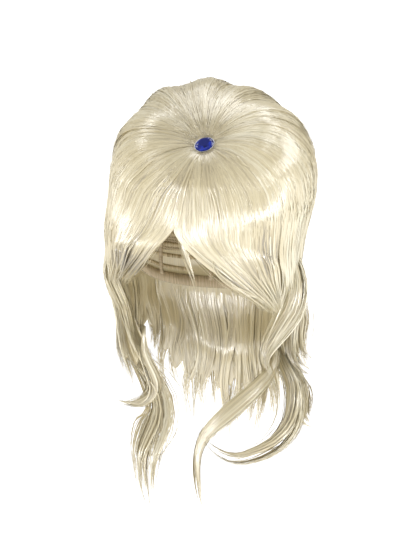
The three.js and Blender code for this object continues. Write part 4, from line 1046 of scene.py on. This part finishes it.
# Inside of the cap: a thin net, wefts sewn round it, straps from the crown down and a band at its rim.
# Halves are shares of the way from crown to rim, or degrees for a strap; proud is how far a band stands
# inwards and laid how far it reaches into the net. The net's inner and outer faces are distances too.
capLook = {
    "columns": 120, "rows": 20, "net": (0.0004, 0.0012), "wefts": 11, "firstWeft": 0.2, "lastWeft": 0.9,
    "weftHalf": 0.011, "weftProud": 0.0008, "straps": 8, "strapHalf": 1.6, "strapProud": 0.0012,
    "strapFrom": 0.12, "strapTo": 0.96, "strapSteps": 24, "strapTurn": 22.5, "strapNarrow": 0.3,
    "bandHalf": 0.032, "bandProud": 0.001, "laid": 0.0006, "girth": 0.55, "fall": 0.15, "tone": 0.5,
    "cells": 420.0, "uneven": 0.35, "netColours": ((0.0, (0.60, 0.50, 0.33)), (0.3, (0.20, 0.155, 0.085))),
    "netBump": (0.6, 0.0004), "netRoughness": 0.8,
    "weftColours": ((0.35, (0.30, 0.23, 0.12)), (0.65, (0.62, 0.52, 0.33))), "weftRibs": 900.0,
    "elasticColours": ((0.35, (0.42, 0.34, 0.22)), (0.65, (0.58, 0.48, 0.33))), "elasticRibs": 500.0,
    "ribRuns": 60.0, "ribBump": (0.7, 0.0005), "ribRoughness": 0.75,
}


# Net: threads along the edges of small cells, over the hair that shows through them, painted dark as its
# shade
def netMaterial(look):
    material, tree = newMaterial("cap_net")
    uvMap = addNode(tree, "UVMap", -900, 0, {}, uv_map="combed")
    sockets = {"Vector": uvMap.outputs["UV"], "Scale": look["cells"], "Randomness": look["uneven"]}
    net = addNode(tree, "TexVoronoi", -700, 0, sockets, feature="DISTANCE_TO_EDGE",
                  voronoi_dimensions="2D").outputs["Distance"]
    addShader(tree, {"Base Color": addRamp(tree, -450, 0, net, look["netColours"]),
                     "Normal": addBump(tree, 300, -300, net, *look["netBump"], invert=True),
                     "Roughness": look["netRoughness"]})
    return material


# Woven band: ribs across it, each with a little of its own colour
def bandMaterial(name, look, colours, ribs):
    material, tree = newMaterial(name)
    ribbing = addStreaks(tree, -900, 0, ribs, look["ribRuns"], 1.0)
    addShader(tree, {"Base Color": addRamp(tree, -300, 0, ribbing, colours),
                     "Normal": addBump(tree, 300, -300, ribbing, *look["ribBump"]),
                     "Roughness": look["ribRoughness"]})
    return material


# Places on the cap and its map: the turn's share of the girth across, the share of the fall along
def capGrid(turns, shares, distances):
    turns, shares, distances = np.broadcast_arrays(turns, shares, distances)
    uv = np.stack([turns / 360 * capLook["girth"], shares * capLook["fall"]], axis=-1)
    return capPoint(turns, shares, distances), uv


# A band's section: its four corners to either side, and their distances from the cap's hollow
def bandCorners(proud):
    return np.array([[-1, -1, 1, 1]]), np.array([[capLook["laid"], -proud, -proud, capLook["laid"]]])


# Flat ring round the cap at a share of the way down: four corners carried round, closed both ways
def roundBand(share, half, proud):
    turns = (np.arange(capLook["columns"]) * 360 / capLook["columns"])[:, None]
    sides, distances = bandCorners(proud)
    place, uv = capGrid(turns, share + half * sides, distances)
    index = np.arange(place[..., 0].size).reshape(place.shape[:2])
    index = np.concatenate([index, index[:1]])
    tone = np.full(place.shape[:2], capLook["tone"])
    return part(place, gridFaces(index, np.roll(index, -1, axis=1)), np.zeros((0, 3), int), uv, tone)


# Strap from near the crown to the rim along one turn: four corners carried down, closed at its ends. Its
# breadth in degrees grows towards the crown, where a degree is shorter.
def downBand(turn):
    shares = np.linspace(capLook["strapFrom"], capLook["strapTo"], capLook["strapSteps"])[:, None]
    sides, distances = bandCorners(capLook["strapProud"])
    half = capLook["strapHalf"] / np.maximum(shares, capLook["strapNarrow"])
    place, uv = capGrid(turn + half * sides, shares, distances)
    tone = np.full(place.shape[:2], capLook["tone"])
    return ringPart(place[0].mean(axis=0), place, place[-1].mean(axis=0), uv[..., ::-1], tone)


# The cap: the net as rings down its outside and up its inside, then the wefts, straps and rim band
def buildCap():
    look = capLook
    turns = np.arange(look["columns"]) * 360.0 / look["columns"]
    turn, share = np.meshgrid(turns, np.linspace(0, 1, look["rows"] + 1)[1:])
    inner, outer = (capGrid(turn, share, distance)[0] for distance in look["net"])
    foot, top = (capPoint(0.0, 0.0, distance) for distance in look["net"])
    uv = capGrid(turn, share, 0.0)[1]
    net = ringPart(top, np.concatenate([outer, inner[::-1]]), foot, np.concatenate([uv, uv[::-1]]),
                   np.zeros((2 * look["rows"], look["columns"])))
    makePiece("cap_net", [net], netMaterial(look), ["wig_cap"], "cap_net")
    weftFinish = bandMaterial("weft_stitching", look, look["weftColours"], look["weftRibs"])
    weftShares = np.linspace(look["firstWeft"], look["lastWeft"], look["wefts"])
    wefts = [roundBand(share, look["weftHalf"], look["weftProud"]) for share in weftShares]
    makePiece("cap_wefts", wefts, weftFinish, [], "cap_net")
    elasticFinish = bandMaterial("ribbed_elastic", look, look["elasticColours"], look["elasticRibs"])
    straps = [downBand(turn) for turn in np.arange(look["straps"]) * 360 / look["straps"] + look["strapTurn"]]
    rim = roundBand(1 - look["bandHalf"], look["bandHalf"], look["bandProud"])
    makePiece("cap_elastic", [rim, *straps], elasticFinish, [], "cap_net")


gemLook = {"facetLightScale": 3.1, "colours": ((0.35, (0.001, 0.003, 0.05)), (0.68, (0.008, 0.028, 0.36))),
           "roughness": 0.04, "specular": 0.4}
settingLook = {"grains": 900, "roughness": (0.16, 0.32), "colour": (0.74, 0.75, 0.78, 1)}


# Clear stone: painted inner reflections, each facet taking its own depth of blue from the way it faces
def gemMaterial(look):
    material, tree = newMaterial("blue_stone")
    facing = addNode(tree, "TexCoord", -700, 0, {}).outputs["Normal"]
    facetLight = addNode(tree, "TexNoise", -500, 0, {"Vector": facing, "Scale": look["facetLightScale"], "Detail": 1.0})
    addShader(tree, {"Base Color": addRamp(tree, -300, 0, facetLight.outputs["Fac"], look["colours"]),
                     "Roughness": look["roughness"], "Specular IOR Level": look["specular"]})
    return material


# Plated metal: bare metal whose roughness follows a fine grain
def silverMaterial(look):
    material, tree = newMaterial("plated_setting")
    place = addNode(tree, "TexCoord", -700, 0, {}).outputs["Object"]
    grain = addNode(tree, "TexNoise", -500, 0, {"Vector": place, "Scale": look["grains"]}).outputs["Fac"]
    addShader(tree, {"Roughness": addRange(tree, -250, 0, grain, *look["roughness"]), "Metallic": 1.0,
                     "Base Color": look["colour"]})
    return material


# Gives a node of the frame a material in place of its own
def dressNode(name, material):
    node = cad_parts[name]
    node.data.materials.clear()
    node.data.materials.append(material)


buildCap()
dressNode("gem_stone", gemMaterial(gemLook))
dressNode("gem_setting", silverMaterial(settingLook))
print("materials set")

# Studio: a plain pale floor, soft lamps and a white room. A lamp is its azimuth and elevation in degrees, its
# width and height in metres, and its power in watts. The centre is in the photo's pixels from the origin.
studio = {
    "floorDrop": 0.75, "floorSize": 60.0, "floorGlow": 0.75, "floorColour": (0.93, 0.93, 0.93, 1),
    "floorRoughness": 0.9, "room": (0.62, 1.0), "azimuth": 19, "elevation": 13, "distance": 2.2,
    "pixel": 0.00106, "imageHeight": 560, "centreRight": 0.5, "centreUp": -100.5, "sensor": 24,
    "lampDistance": 1.8,
    "lampTarget": (0, 0, -0.05),
    "lamps": {
        "front": (0, -6, (1.0, 0.18), 7),
        "frontLeft": (-62, -6, (1.0, 0.18), 6),
        "frontRight": (72, -6, (1.0, 0.18), 6),
        "left": (-90, 42, (0.4, 0.4), 3),
        "right": (105, 26, (0.4, 0.5), 6),
        "upperRight": (135, 50, (0.5, 0.3), 3),
        "back": (200, 50, (0.8, 0.8), 3),
        "top": (180, 70, (0.9, 0.9), 5),
        "stone": (-4, 6, (0.3, 0.3), 1.5),
    },
}


# Camera on the studio's view: the lens is the sensor's height times the distance, over the height it sees
def placeCamera():
    back, right = compass(studio["azimuth"], studio["elevation"]), compass(studio["azimuth"] + 90, 0)
    up = np.cross(back, right)
    target = studio["pixel"] * (studio["centreRight"] * right + studio["centreUp"] * up)
    place = target + studio["distance"] * back
    data = bpy.data.cameras.new("camera")
    data.sensor_fit = "VERTICAL"
    data.sensor_height = studio["sensor"]
    data.lens = studio["sensor"] * studio["distance"] / (studio["imageHeight"] * studio["pixel"])
    camera = bpy.data.objects.new("camera", data)
    camera.matrix_world = Matrix([[*(right[i], up[i], back[i], place[i])] for i in range(3)] + [[0, 0, 0, 1]])
    bpy.context.scene.collection.objects.link(camera)
    bpy.context.scene.camera = camera


# Flat lamp at a distance from the target, turned to face it
def addLamp(name, azimuth, elevation, size, power):
    back = Vector(compass(azimuth, elevation))
    data = bpy.data.lights.new(name, "AREA")
    data.shape, data.size, data.size_y, data.energy = "RECTANGLE", size[0], size[1], power
    lamp = bpy.data.objects.new(name, data)
    lamp.location = Vector(studio["lampTarget"]) + back * studio["lampDistance"]
    lamp.visible_camera = False
    lamp.rotation_mode = "QUATERNION"
    lamp.rotation_quaternion = (-back).to_track_quat("-Z", "Y")
    bpy.context.scene.collection.objects.link(lamp)


# Floor: a glowing square well below the wig
def addFloor():
    half = studio["floorSize"] / 2
    low = min(cadBox[0].z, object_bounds()[0].z) - studio["floorDrop"]
    mesh = bpy.data.meshes.new("floor")
    corners = [(-half, -half, low), (half, -half, low), (half, half, low), (-half, half, low)]
    mesh.from_pydata(corners, [], [(0, 1, 2, 3)])
    floor = bpy.data.objects.new("floor", mesh)
    material, tree = newMaterial("pale_floor")
    addShader(tree, {"Base Color": studio["floorColour"], "Roughness": studio["floorRoughness"],
                     "Emission Color": (1, 1, 1, 1), "Emission Strength": studio["floorGlow"]})
    mesh.materials.append(material)
    bpy.context.scene.collection.objects.link(floor)


# Room: white, less bright to the wig than to the camera
def buildStudio():
    addFloor()
    world = bpy.data.worlds.new("room")
    world.use_nodes = True
    tree = world.node_tree
    seen = addNode(tree, "LightPath", -400, 0, {}).outputs["Is Camera Ray"]
    glow = addRange(tree, -200, 0, seen, *studio["room"])
    setSockets(tree, tree.nodes["Background"], {"Strength": glow, "Color": (1, 1, 1, 1)})
    bpy.context.scene.world = world
    for name, lamp in studio["lamps"].items():
        addLamp(name, *lamp)
    bpy.context.scene.view_settings.view_transform = "Standard"


placeCamera()
buildStudio()
print("studio set")
